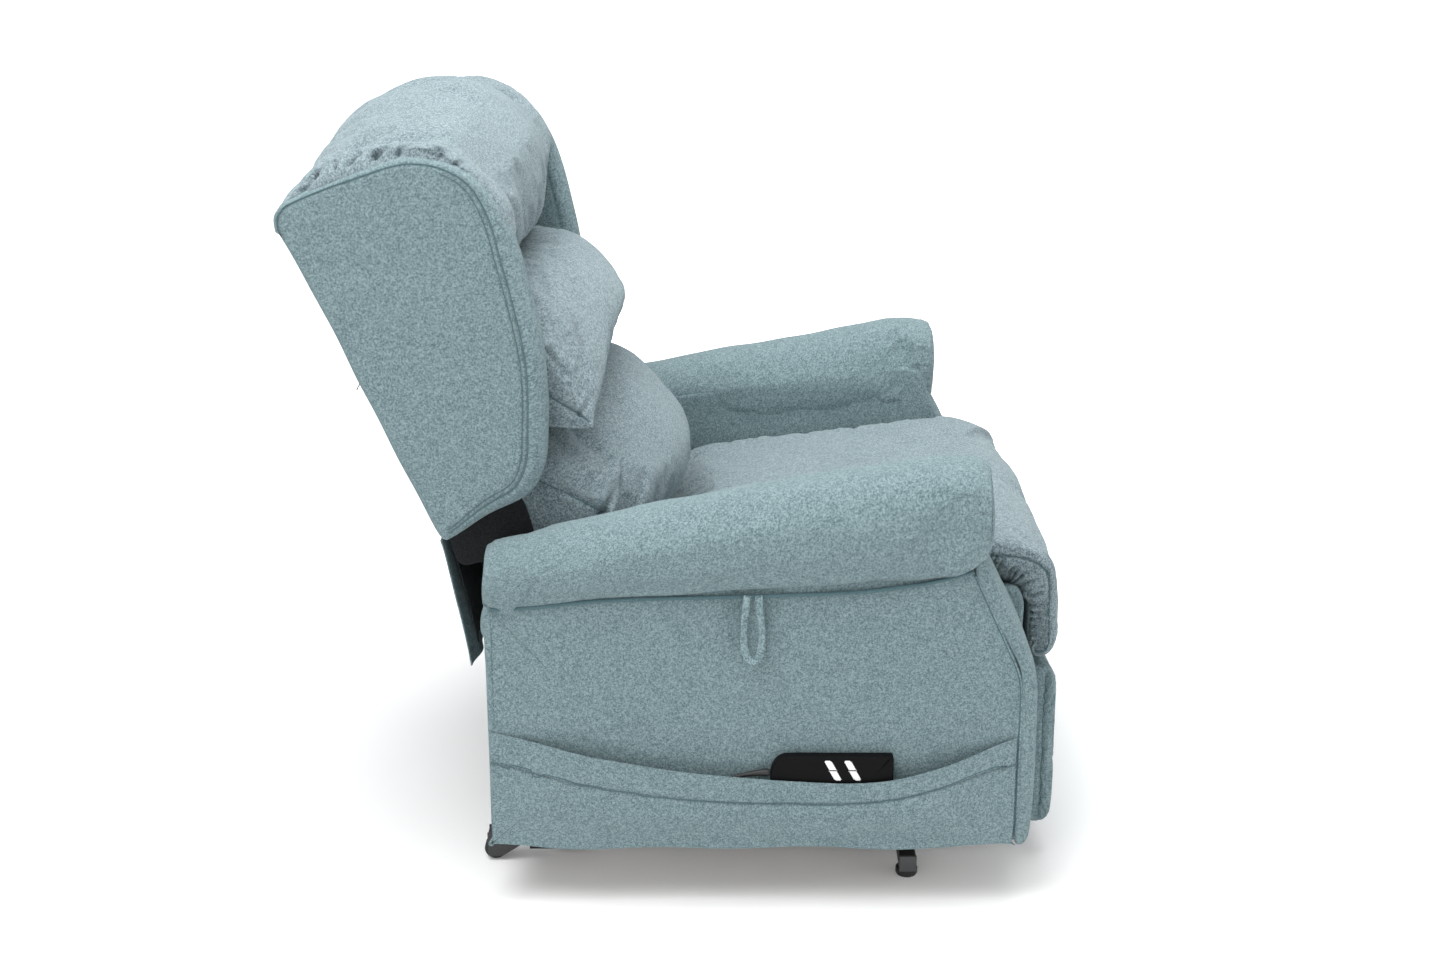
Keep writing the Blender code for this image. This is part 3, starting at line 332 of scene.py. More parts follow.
class Sheet:
    """Closed loops of points, ring by ring: P is (rings, around, 3)."""

    def __init__(self, points, flat, lead=None, core=None, axis=0):
        self.axis = axis
        self.core = None if core is None else np.asarray(core, float)
        self.P = np.asarray(points, float)
        self.flat = np.asarray(flat, bool)
        self.lead = lead
        # seam holds painted shade, 0 to 1 per point, which the fabric material darkens by
        self.seam = np.zeros(self.P.shape[:2])

    def normals(self):
        P = self.P
        around = np.roll(P, -1, 1) - np.roll(P, 1, 1)
        along = np.empty_like(P)
        along[1:-1] = P[2:] - P[:-2]
        along[0] = P[1] - P[0]
        along[-1] = P[-1] - P[-2]
        n = unit(np.cross(along, around)) * self.outward()
        level = P[..., self.axis].mean(1)
        face = np.eye(3)[self.axis] * np.sign(level - level.mean())[:, None]
        n[self.flat] = face[self.flat][:, None]
        return n

    def outward(self):
        if not hasattr(self, "sign"):
            P = self.P
            along = P[2:] - P[:-2]
            around = (np.roll(P, -1, 1) - np.roll(P, 1, 1))[1:-1]
            n = np.cross(along, around)
            self.sign = 1.0 if (P[1:-1] * n).sum() - (P.mean((0, 1)) * n).sum() > 0 else -1.0
        return self.sign

    def mirror(self):
        """Moves the sheet to the other side of the chair."""
        self.P[..., 0] *= -1
        self.__dict__.pop("sign", None)
        return self

    def push(self, amount):
        self.P = self.P + self.normals() * np.asarray(amount)[..., None]

    def refine(self):
        """Doubles the rings and the points around by cubic interpolation."""

        def halves(Q, wrap):
            if wrap:
                before, after, after2 = np.roll(Q, 1, 0), np.roll(Q, -1, 0), np.roll(Q, -2, 0)
                odd = (-before + 9 * Q + 9 * after - after2) / 16
                out = np.empty((2 * len(Q),) + Q.shape[1:])
                out[0::2], out[1::2] = Q, odd
                return out
            pad = np.concatenate([2 * Q[:1] - Q[1:2], Q, 2 * Q[-1:] - Q[-2:-1]])
            odd = (-pad[:-3] + 9 * pad[1:-2] + 9 * pad[2:-1] - pad[3:]) / 16
            out = np.empty((2 * len(Q) - 1,) + Q.shape[1:])
            out[0::2], out[1::2] = Q, odd
            return out

        self.P = halves(self.P, False)
        self.P = halves(self.P.swapaxes(0, 1), True).swapaxes(0, 1)
        self.flat = np.repeat(self.flat, 2)[:-1]
        self.seam = np.zeros(self.P.shape[:2])
        if self.lead is not None:
            self.lead = halves(self.lead, False)
            self.lead = halves(self.lead.swapaxes(0, 1), True).swapaxes(0, 1)
        return self

    def groove(self, line, width, depth, dark, painted_shade_width):
        """Presses a channel along a 3-D polyline lying near the surface, and paints shade along it into seam."""
        line = np.asarray(line, float)
        if len(line) > 90:
            line = spaced(line, 90, False)
        flat = self.P.reshape(-1, 3)
        _, d = nearest(flat, line)
        d = d.reshape(self.P.shape[:2])
        self.push(-depth * np.exp(-((d / width) ** 2)))
        self.seam = np.maximum(self.seam, dark * np.exp(-((d / painted_shade_width) ** 2)))

    def tuck(self, start, end, width, depth, dark):
        """A short fold from start to end: a deep crease that fades, with raised lips, and painted shade in the crease.
        """
        flat = self.P.reshape(-1, 3)
        ia = np.argmin(((flat - np.asarray(start, float)) ** 2).sum(1))
        ib = np.argmin(((flat - np.asarray(end, float)) ** 2).sum(1))
        a, b = flat[ia], flat[ib]
        n = self.normals().reshape(-1, 3)
        n = n[ia] + n[ib]
        n /= np.linalg.norm(n)
        ab = b - a
        ab = ab - (ab @ n) * n
        length = max(np.linalg.norm(ab), 1e-4)
        rel = self.P - a
        off = rel @ n
        rel = rel - off[..., None] * n
        t = (rel @ ab) / length**2
        side = rel - np.clip(t, 0, 1)[..., None] * ab
        side = side + 0.25 * off[..., None] * n
        d = np.linalg.norm(side, axis=2)
        fade = np.where(t < 0, np.exp(-((t * length / width) ** 2)), np.clip(1 - t, 0, 1) ** 0.8)
        fade = np.where(t > 1, 0.0, fade)
        w = width * (0.7 + 0.6 * np.clip(t, 0, 1))
        crease = np.exp(-((d / w) ** 2))
        lips = np.exp(-(((d - 2.1 * w) / (1.3 * w)) ** 2))
        self.push(fade * (-depth * crease + 0.18 * depth * lips))
        self.seam = np.maximum(self.seam, dark * fade * np.exp(-((d / (0.8 * w)) ** 2)))

    def waves(self, scale, amount, seed):
        self.push(amount * value_noise(self.P, scale, seed))


def along_core(points, core):
    """Distance along a polyline of the nearest point, for every point."""
    best = np.full(len(points), 1e9)
    where = np.zeros(len(points))
    start = 0.0
    for a, b in zip(core[:-1], core[1:]):
        ab = b - a
        size = np.linalg.norm(ab)
        raw = ((points - a) @ ab) / (size * size)
        t = np.clip(raw, 0.0, 1.0)
        d = np.linalg.norm(points - a - t[:, None] * ab, axis=1)
        closer = d < best - 1e-9
        best[closer] = d[closer]
        where[closer] = (start + t * size)[closer]
        start += size
    return where


def close_ring(ids, ring, core, flip):
    """Closes a narrow ring with triangles that zip its two sides together along the core."""
    n = len(ids)
    if core is None:
        return [ids[::-1].tolist() if flip else ids.tolist()]
    t = along_core(ring[:, 1:], core)
    low, high = int(np.argmin(t)), int(np.argmax(t))
    up = [(low + k) % n for k in range((high - low) % n + 1)]
    down = [(low - k) % n for k in range((low - high) % n + 1)]
    i = j = 0
    faces = []
    while i < len(up) - 1 or j < len(down) - 1:
        step_up = j >= len(down) - 1 or (i < len(up) - 1 and t[up[i + 1]] <= t[down[j + 1]])
        if step_up:
            tri = (up[i], up[i + 1], down[j])
            i += 1
        else:
            tri = (up[i], down[j + 1], down[j])
            j += 1
        if len(set(tri)) == 3:
            tri = [int(ids[k]) for k in tri]
            faces.append(tri[::-1] if flip else tri)
    return faces


def build(name, sheet, mat, plane=(1, 2), spin=0.0):
    """Mesh object from a sheet, with a UV map in metres. Flat rings take UV from the plane."""
    P = sheet.P
    nu, nv = P.shape[:2]
    base = np.arange(nu * nv).reshape(nu, nv)
    right = np.roll(base, -1, 1)
    quads = np.stack([base[:-1], right[:-1], right[1:], base[1:]], -1).reshape(-1, 4)
    out = sheet.outward() > 0
    if out:
        quads = quads[:, ::-1]
    faces = quads.tolist()
    faces += close_ring(base[0], P[0], sheet.core, not out)
    faces += close_ring(base[-1], P[-1], sheet.core, out)
    mesh = bpy.data.meshes.new(name)
    mesh.from_pydata(P.reshape(-1, 3).tolist(), [], faces)
    mesh.update()
    ring_step = np.linalg.norm(np.diff(P, axis=0), axis=2).mean(1)
    U = np.concatenate([[0.0], np.cumsum(ring_step)])
    middle = P[nu // 2]
    arc = np.concatenate([[0.0], np.cumsum(np.linalg.norm(np.roll(middle, -1, 0) - middle, axis=1))])
    loops = np.zeros(len(mesh.loops), np.int32)
    mesh.loops.foreach_get("vertex_index", loops)
    ring, col = loops // nv, loops % nv
    quad_loops = len(quads) * 4
    face_of = np.arange(quad_loops) // 4
    face_ring, face_col = face_of // nv, face_of % nv
    wrapped = (face_col == nv - 1) & (col[:quad_loops] == 0)
    uv = np.zeros((len(loops), 2))
    uv[:quad_loops, 0] = U[ring[:quad_loops]]
    uv[:quad_loops, 1] = np.where(wrapped, arc[nv], arc[col[:quad_loops]])
    planar = np.ones(len(loops), bool)
    planar[:quad_loops] = sheet.flat[face_ring] & sheet.flat[np.minimum(face_ring + 1, nu - 1)]
    flat_points = P.reshape(-1, 3)[loops]
    uv[planar] = flat_points[planar][:, plane]
    if spin:
        c, s = math.cos(spin), math.sin(spin)
        uv = uv @ np.array([[c, s], [-s, c]])
    layer = mesh.uv_layers.new(name="UVMap")
    layer.data.foreach_set("uv", uv.astype(np.float32).ravel())
    # the seam attribute carries the painted shade to the fabric material
    attribute = mesh.attributes.new("seam", "FLOAT", "POINT")
    attribute.data.foreach_set("value", sheet.seam.astype(np.float32).ravel())
    mesh.polygons.foreach_set("use_smooth", np.ones(len(mesh.polygons), bool))
    mesh.materials.append(mat)
    obj = bpy.data.objects.new(name, mesh)
    bpy.context.scene.collection.objects.link(obj)
    return obj


def puff(sheet, hold, pressure, shrink, cap):
    """Cloth simulation with air pressure; hold is 0..1 per point, 1 is pinned; cap is the longest move."""
    obj = build("sim", sheet, WEAVE)
    group = obj.vertex_groups.new(name="pin")
    weights = np.clip(hold, 0, 1).ravel()
    for level in np.unique(np.round(weights, 1)):
        members = np.nonzero(np.round(weights, 1) == level)[0]
        if level > 0:
            group.add(members.tolist(), float(level), "REPLACE")
    mod = obj.modifiers.new("cloth", "CLOTH")
    s = mod.settings
    s.quality = 5
    s.mass = 0.3
    s.tension_stiffness = s.compression_stiffness = 12.0
    s.shear_stiffness = 6.0
    s.bending_stiffness = 0.4
    s.use_pressure = True
    s.uniform_pressure_force = pressure
    s.shrink_min = shrink
    s.vertex_group_mass = "pin"
    s.effector_weights.gravity = 0
    mod.collision_settings.use_collision = False
    scene = bpy.context.scene
    for f in range(1, SIM_FRAMES + 1):
        scene.frame_set(f)
    result = obj.evaluated_get(bpy.context.evaluated_depsgraph_get())
    co = np.zeros(len(obj.data.vertices) * 3)
    result.data.vertices.foreach_get("co", co)
    move = co.reshape(sheet.P.shape) - sheet.P
    far = np.linalg.norm(move, axis=2, keepdims=True)
    sheet.P = sheet.P + move * np.minimum(1.0, cap / np.maximum(far, 1e-9))
    mesh = obj.data
    bpy.data.objects.remove(obj)
    bpy.data.meshes.remove(mesh)
    scene.frame_set(1)
    return sheet


def slab(outline, core, x0, x1, rx, seam, mid=4, face=12, nose=6, crown=(0.0, 0.0), reach=0.94):
    """Padded slab from a (y, z) outline: rounded edge, then faces that close in on the core."""
    n = len(outline)
    spot, _ = nearest(outline, np.asarray(core, float))
    for _ in range(3):
        for k in (1, 2, 4, 6):
            spot = (np.roll(spot, k, 0) + spot + np.roll(spot, -k, 0)) / 3
    depth = np.maximum(np.linalg.norm(spot - outline, axis=1), 1e-4)
    inward = (spot - outline) / depth[:, None]
    seam = np.minimum(np.broadcast_to(seam, (n,)), 0.8 * depth)
    xm, hx = (x0 + x1) / 2, (x1 - x0) / 2
    rx = min(rx, hx)

    def half(sign, swell):
        out = []
        for a in np.linspace(0, math.pi / 2, nose + 1):
            out.append((seam * (1 - math.cos(a)), xm + sign * (hx - rx + rx * math.sin(a)), False))
        for f in np.linspace(0, 1, face + 1)[1:] ** 1.6 * reach:
            out.append((seam + f * (depth - seam), xm + sign * (hx + swell * (1 - (1 - f) ** 2.5)), True))
        return out

    low = half(-1, crown[0])[::-1]
    high = half(1, crown[1])
    if rx < hx:
        middle = [(0 * seam, xm + (hx - rx) * t, False) for t in np.linspace(-1, 1, mid + 1)[1:-1]]
    else:
        middle, high = [], high[1:]
    rows = low + middle + high
    P = np.zeros((len(rows), n, 3))
    for i, (d, x, _) in enumerate(rows):
        P[i, :, 0] = x
        P[i, :, 1:] = outline + inward * np.broadcast_to(d, (n,))[:, None]
    lead = np.array([np.broadcast_to(d, (n,)) - seam for d, _, _ in rows])
    lead[: len(low)] *= -1
    return Sheet(P, [r[2] for r in rows], lead, core)


def ring_line(sheet, offset, low_face=False):
    """The closed line on a face at a distance inside the seam, from the lead values."""
    P, lead = sheet.P, sheet.lead
    half = len(P) // 2
    step = -1 if low_face else 1
    rows = range(half, 0, -1) if low_face else range(half, len(P) - 1)
    out = np.zeros((P.shape[1], 3))
    done = np.zeros(P.shape[1], bool)
    for i in rows:
        j = i + step
        a, b = lead[i] * step, lead[j] * step
        hit = (~done) & (a <= offset) & (b >= offset)
        t = np.where(hit, (offset - a) / np.maximum(b - a, 1e-9), 0)[:, None]
        out[hit] = (P[i] * (1 - t) + P[j] * t)[hit]
        done |= hit
    return out[done]


def sections(mid, end, x_end, x_fall, power, around, along, cap, crown):
    """Cushion across the chair: outline mid at the centre turns into outline end at both ends."""
    mid, end = np.asarray(mid, float), np.asarray(end, float)
    dense = catmull(mid, True, 24)
    seg = np.linalg.norm(np.roll(dense, -1, 0) - dense, axis=1)
    arc = np.concatenate([[0], np.cumsum(seg)])
    at = np.linspace(0, arc[-1], around, endpoint=False)
    param = np.interp(at, arc, np.arange(len(arc)) / 24.0)

    def ring(w):
        c = end + (mid - end) * w
        n = len(c)
        i = np.floor(param).astype(int) % n
        t = (param - np.floor(param))[:, None]
        return cubic(c[i - 1], c[i], c[(i + 1) % n], c[(i + 2) % n], t)

    ease = np.sin(np.linspace(-1, 1, along) * math.pi / 2)
    xs = x_end * (0.5 * ease + 0.5 * np.linspace(-1, 1, along))
    rows, flats = [], []
    for x in xs:
        tau = np.clip((abs(x) - x_fall) / (x_end - x_fall), 0, 1)
        bulge = power[0] if x < 0 else power[1]
        w = (1 - tau**bulge) ** (1 / bulge)
        r = ring(w)
        rows.append(np.column_stack([np.full(len(r), x), r]))
        flats.append(False)
    centre = rows[0][:, 1:]
    y_line = np.linspace(centre[:, 0].min(), centre[:, 0].max(), 7)[2:5]
    core = np.column_stack([y_line, np.full(3, 0.0)])
    for k, y in enumerate(y_line):
        close = np.abs(centre[:, 0] - y) < 0.02
        core[k, 1] = (centre[close, 1].min() + centre[close, 1].max()) / 2
    spot, _ = nearest(centre, core)
    for sign in (-1, 1):
        caps = []
        for f in np.linspace(0, 0.93, cap + 1)[1:]:
            r = centre + (spot - centre) * f
            caps.append(np.column_stack([np.full(len(r), sign * (x_end + crown * (1 - (1 - f) ** 2))), r]))
        if sign < 0:
            rows, flats = caps[::-1] + rows, [True] * cap + flats
        else:
            rows, flats = rows + caps, flats + [True] * cap
    return Sheet(np.array(rows), flats, None, core)


# ------------------------------------------------------------------ cords, stitches, placing
def tube_rings(path, normals, radius, sides):
    """Rings of a tube along a path."""
    n = len(path)
    tangent = unit(np.gradient(path, axis=0))
    up = unit(normals - (normals * tangent).sum(1, keepdims=True) * tangent)
    side = np.cross(tangent, up)
    a = np.linspace(0, 2 * math.pi, sides, endpoint=False)
    r = np.broadcast_to(radius, (n,))[:, None, None]
    return path[:, None] + r * (np.cos(a)[None, :, None] * up[:, None] + np.sin(a)[None, :, None] * side[:, None])


def raw_mesh(name, verts, faces, mat):
    mesh = bpy.data.meshes.new(name)
    mesh.from_pydata(np.asarray(verts).tolist(), [], faces)
    mesh.update()
    bm = bmesh.new()
    bm.from_mesh(mesh)
    bmesh.ops.recalc_face_normals(bm, faces=bm.faces)
    bm.to_mesh(mesh)
    bm.free()
    mesh.polygons.foreach_set("use_smooth", np.ones(len(mesh.polygons), bool))
    layer = mesh.uv_layers.new(name="UVMap")
    loops = np.zeros(len(mesh.loops), np.int32)
    mesh.loops.foreach_get("vertex_index", loops)
    co = np.asarray(verts)[loops]
    uv = np.column_stack([co[:, 1] + 0.3 * co[:, 0], co[:, 2] + 0.3 * co[:, 0]])
    layer.data.foreach_set("uv", uv.astype(np.float32).ravel())
    mesh.materials.append(mat)
    obj = bpy.data.objects.new(name, mesh)
    bpy.context.scene.collection.objects.link(obj)
    return obj


def tube(name, path, normals, radius, mat, sides):
    """Cord along a path, with closed ends."""
    path = np.asarray(path, float)
    rings = tube_rings(path, np.asarray(normals, float), radius, sides)
    last = (len(path) - 1) * sides
    faces = []
    for low in range(0, last, sides):
        for k in range(sides):
            m = (k + 1) % sides
            faces.append((low + k, low + m, low + sides + m, low + sides + k))
    faces.append(tuple(range(sides)))
    faces.append(tuple(range(last, last + sides)))
    return raw_mesh(name, rings.reshape(-1, 3), faces, mat)


def drape(obj, line, lift=0.0):
    """Moves a polyline on to the surface of a mesh; returns points and normals."""
    points, normals = [], []
    for p in np.asarray(line, float):
        _, where, normal, _ = obj.closest_point_on_mesh(Vector(p))
        points.append(np.array(where) + lift * np.array(normal))
        normals.append(np.array(normal))
    return np.array(points), np.array(normals)


def stitches(name, obj, lines, pitch=0.0058, length=0.0040):
    """Rows of short raised stitches on a surface, in one mesh."""
    radius, sides = 0.00055, 5
    verts, faces = [], []
    for line in lines:
        line = np.asarray(line, float)
        total = np.linalg.norm(np.diff(line, axis=0), axis=1).sum()
        count = max(2, int(total / pitch))
        mids = spaced(line, count, False)
        points, normals = drape(obj, mids, 0.0002)
        tangent = unit(np.gradient(points, axis=0))
        for p, nrm, tan in zip(points, normals, tangent):
            ends = np.array([p - tan * length / 2 - nrm * radius, p - tan * length * 0.28 + nrm * radius * 0.4,
                             p + tan * length * 0.28 + nrm * radius * 0.4, p + tan * length / 2 - nrm * radius])
            rings = tube_rings(ends, np.array([nrm] * 4), np.array([0.5, 1, 1, 0.5]) * radius, sides)
            start = len(verts)
            verts.extend(rings.reshape(-1, 3))
            for low in range(start, start + 3 * sides, sides):
                for k in range(sides):
                    m = (k + 1) % sides
                    faces.append((low + k, low + m, low + sides + m, low + sides + k))
            faces.append(tuple(start + k for k in range(sides)))
            faces.append(tuple(start + 3 * sides + k for k in range(sides)))
    return raw_mesh(name, np.array(verts), faces, THREAD)


def place(obj, body, slot, *nodes):
    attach(obj, body)
    if nodes:
        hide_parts(*nodes)
    return obj


def cover(name, sheet, body, *nodes, mat=WEAVE, slot="teal_weave"):
    """Mesh of a sheet that rides on a body in place of CAD nodes."""
    return place(build(name, sheet, mat), body, slot, *nodes)


def padded(points, count, core, x0, x1, rx, seam, side=1, refine=True, **more):
    """Slab from control points of its outline; side -1 puts it on the right."""
    s = slab(spaced(catmull(points), count), core, x0, x1, rx, seam, **more)
    if refine:
        s.refine()
    return s.mirror() if side < 0 else s


def seam_cord(name, obj, line, body, radius=0.0009, sink=0.0004, mat=THREAD, step=0.005):
    """Cord half sunk in a surface along a line."""
    line = np.asarray(line, float)
    total = np.linalg.norm(np.diff(line, axis=0), axis=1).sum()
    points, normals = drape(obj, spaced(line, max(4, int(total / step)), False), -sink)
    return place(tube(name, points, normals, radius, mat, 6), body, "teal_weave")


def at_x(x, line):
    line = np.asarray(line, float)
    return np.column_stack([np.full(len(line), x), line])


# ------------------------------------------------------------------ wings
WING = metres("""
    5430 9720, 5500 9790, 5515 9980, 5460 10100, 5310 10230, 4690 10500, 3870 10770, 3470 10800, 3080 10700,
    2700 10440, 2320 9840, 2080 9020, 1900 8040, 1885 7030, 1935 6460, 2160 6030, 2720 5730, 3280 5400,
    3400 5370, 3560 5620, 4000 6590, 4490 7720, 4980 8840
""")
WING_CORE = [(0.4050, 0.9700), (0.2950, 0.6800)]


def off_rear(ring):
    """The part of a wing ring that isn't along its straight rear edge, in order."""
    turn = np.arctan2(ring[:, 2] - 0.80, ring[:, 1] - 0.37) % (2 * math.pi)
    start = math.atan2(0.930 - 0.80, 0.525 - 0.37)
    ring = ring[np.argsort((turn - start) % (2 * math.pi))]
    a, b = np.array([0.553, 0.985]), np.array([0.345, 0.535])
    away = (b - a) / np.linalg.norm(b - a)
    gap = np.abs((ring[:, 1] - a[0]) * away[1] - (ring[:, 2] - a[1]) * away[0])
    near_rear = (gap < 0.020) & (ring[:, 2] < 0.975)
    return ring[~near_rear]


def wing(side, name):
    outline = spaced(catmull(WING), 250)
    y, z = outline.T
    front = smooth01((0.400 - y) / 0.12) * smooth01((1.080 - z) / 0.14)
    top = smooth01((z - 1.0) / 0.04) * (1 - front)
    bottom = smooth01((0.62 - z) / 0.05)
    rear = 1 - np.maximum(front, top)
    seam = 0.008 + 0.019 * front * (1 - 0.4 * bottom)
    s = slab(outline, WING_CORE, 0.3490, 0.4085, 0.0300, seam, face=13, nose=7, crown=(0.001, 0.0015))
    middle, half = 0.37875, 0.02975
    across = (s.P[..., 0] - middle) / half
    boxy = 1 - 0.65 * rear[None] * ~s.flat[:, None]
    s.P[..., 0] = middle + half * np.sign(across) * np.abs(across) ** boxy
    s.refine()
    if side < 0:
        s.mirror()
    line = off_rear(ring_line(s, 0.0))
    s.groove(line, 0.0030, 0.0020, 0.75, 0.0022)
    s.groove(off_rear(ring_line(s, 0.0, True)), 0.0035, 0.0015, 0.5, 0.0025)
    edge = off_rear(ring_line(s, 0.0075))
    second = edge[(edge[:, 1] < 0.340) & (edge[:, 2] < 1.06)]
    s.groove(second, 0.0024, 0.0012, 0.6, 0.0018)
    s.waves(9.0, 0.0010, 5 + side)
    body = cover("wing_cover_" + name, s, "back", "wing_" + name)
    seam_cord("wing_seam_" + name, body, line, "back", 0.0010, step=0.006)
    seam_cord("wing_topstitch_" + name, body, second, "back", 0.0007, step=0.006)
    place(stitches("wing_stitches_" + name, body, [second]), "back", "teal_weave")


for wing_side in SIDES:
    wing(*wing_side)


# ------------------------------------------------------------------ back cushions
HEAD_MID = metres("""
    4900 9400, 5420 10050, 5360 10470, 4980 10880, 4400 11160, 3720 11300, 3190 11220, 2620 10820, 2240 10250,
    2150 9700, 2230 9300, 2600 8980, 3200 8840, 3700 8930, 4300 9160
""")
HEAD_END = metres("""
    5150 9750, 5430 9920, 5300 10205, 4720 10475, 4300 10625, 3800 10765, 3380 10775, 3000 10500, 2620 10000,
    2430 9550, 2400 9250, 2700 9050, 3200 8950, 3700 9050, 4300 9300
""")


# x, y, z of each fold's deep end, then of its shallow end, its width and its depth
HEAD_FOLDS = metres("""
    3900 4660 10660 3520 4620 10850 60 125, 3720 4660 10760 3350 4280 10970 65 115,
    3920 4460 10710 3680 4140 10850 45 60, 3920 4110 10810 3680 3780 10920 50 110,
    3940 3780 10830 3780 3560 10900 40 50, 3900 3340 10880 3640 3000 10920 52 115,
    3920 3220 10820 3760 3040 10840 40 45, 3900 3030 10700 3720 2900 10700 40 60,
    3960 2710 10300 3850 2620 10300 40 50, 3960 5100 10350 3720 4760 10520 50 70,
    3850 4920 10500 3520 4700 10700 50 85
""", 8)


def head():
    s = sections(HEAD_MID, HEAD_END, 0.400, 0.140, (2.2, 1.7), around=170, along=84, cap=4, crown=0.0)
    x = np.abs(s.P[..., 0])
    y, z = s.P[..., 1].copy(), s.P[..., 2].copy()
    bow = (np.hypot(np.minimum(x, 0.27), 0.05) - 0.05) * (1 - smooth01((x - 0.27) / 0.13))
    s.P[..., 2] -= (0.004 + 0.17 * bow) * smooth01((z - 0.99) / 0.09)
    s.P[..., 1] += 0.09 * bow * smooth01((0.34 - y) / 0.08)
    hold = np.zeros(s.P.shape[:2])
    hold[np.abs(s.P[..., 0]) > 0.392] = 1.0
    hold = np.maximum(hold, smooth01((0.93 - s.P[..., 2]) / 0.03) * 0.9)
    hold = np.maximum(hold, smooth01((s.P[..., 1] - 0.50) / 0.03) * 0.7)
    s = puff(s, hold, 2.0, -0.03, 0.010)
    s.refine()
    r = np.random.default_rng(4)
    for side in (-1, 1):
        for x0, y0, z0, x1, y1, z1, width, depth in HEAD_FOLDS:
            jitter = r.uniform(-0.010, 0.010) if side > 0 else 0.0
            if side > 0:
                depth *= 0.3
            s.tuck((side * x0, y0 + jitter, z0), (side * x1, y1 + 0.5 * jitter, z1), width, depth, 0.9)
    s.waves(6.0, 0.0022, 9)
    s.waves(16.0, 0.0009, 10)
    cover("head_cushion_cover", s, "back", "head_cushion", mat=SOFT, slot="teal_soft")


MIDDLE_MID = metres("""
    3900 8750, 3300 8740, 2600 8830, 1990 8740, 1530 8510, 1170 8150, 1020 7790, 1180 7460, 1400 7280,
    1560 7220, 2400 7100, 3260 7130, 3420 7500, 3730 8250
""")
MIDDLE_END = metres("""
    3850 8700, 3300 8700, 2800 8680, 2300 8500, 1950 8100, 1680 7700, 1480 7320, 1330 7020, 1300 6920,
    1450 6880, 2200 6980, 3220 7120, 3400 7500, 3700 8250
""")

LOWER_MID = metres("""
    3150 6980, 2400 6910, 1420 6930, 830 6700, 380 6200, 90 5760, 30 5450, 90 5080, 320 4880, 900 4790,
    1700 4790, 2160 4890, 2380 5360, 2780 6250
""")
LOWER_END = metres("""
    3100 6980, 2500 6900, 1950 6780, 1600 6450, 1380 6050, 1260 5700, 1200 5430, 1220 5200, 1350 5020,
    1550 4900, 1800 4850, 2130 4900, 2360 5360, 2760 6250
""")


def back_cushion(name, mid, end, x_end, x_fall, seam, corner, seed, node, droop, power):
    s = sections(mid, end, x_end, x_fall, (power, power), around=150, along=80, cap=5, crown=0.004)
    x, z = s.P[..., 0], s.P[..., 2]
    s.P[..., 2] -= droop[1] * x**2 * smooth01((z - droop[0]) / 0.09)
    hold = smooth01((s.P[..., 1] - 0.24) / 0.05) * 0.9
    ends = np.abs(s.P[..., 0]) > x_end - 0.004
    hold = np.maximum(hold, ends * 0.6)
    s = puff(s, hold, 2.4, -0.035, 0.012)
    s.refine()
    for side in (-1, 1):
        line = at_x(side * x_end, seam)
        s.groove(line, 0.0040, 0.0028, 0.8, 0.0028)
        for k, (start, stop, width, depth) in enumerate(corner):
            if side > 0 and k > 1:
                continue
            s.tuck((side * start[0], *start[1:]), (side * stop[0], *stop[1:]), width, depth, 0.7)
    s.waves(6.0, 0.0020, seed)
    s.waves(17.0, 0.0008, seed + 1)
    obj = cover(name, s, "back", node, mat=SOFT, slot="teal_soft")
    for side, tag in SIDES[::-1]:
        seam_cord("%s_seam_%s" % (name, tag), obj, at_x(side * x_end, seam), "back", 0.0010, 0.0002)


head()
back_cushion(
    "middle_cushion_cover", MIDDLE_MID, MIDDLE_END, 0.3350, 0.02,
    [(0.230, 0.752), (0.195, 0.734), (0.160, 0.712), (0.133, 0.695)],
    [((0.325, 0.150, 0.700), (0.30, 0.132, 0.730), 0.005, 0.005),
     ((0.20, 0.138, 0.722), (0.17, 0.125, 0.775), 0.009, 0.006),
     ((0.27, 0.150, 0.790), (0.24, 0.160, 0.840), 0.011, 0.004)],
    21, "middle_cushion", (0.66, 0.25), 1.45,
)
back_cushion(
    "lower_cushion_cover", LOWER_MID, LOWER_END, 0.3320, 0.03,
    [(0.240, 0.615), (0.201, 0.600), (0.160, 0.580), (0.125, 0.560), (0.118, 0.545)],
    [((0.325, 0.118, 0.550), (0.290, 0.083, 0.610), 0.0065, 0.011),
     ((0.24, 0.060, 0.520), (0.21, 0.050, 0.580), 0.012, 0.005)],
    31, "lower_cushion", (0.56, 0.50), 1.6,
)


# ------------------------------------------------------------------ arms
ARM = metres("""
    2780 4950 500 330, 2755 4955 555 385, 2550 4990 590 415, 2000 5110 620 450, 500 5370 680 550,
    -1200 5600 720 675, -2800 5800 745 735, -3700 5910 750 740, -4050 5920 738 722, -4200 5920 700 672,
    -4290 5920 620 585
""", 4)
ARM_X, ARM_TOP = 0.4245, 0.592
ARM_UNDER = metres("""
    2690 4610, 2000 4655, 1140 4745, 0 4790, -940 4815, -2330 4870, -3100 4960, -3570 5045, -4050 5180
""")


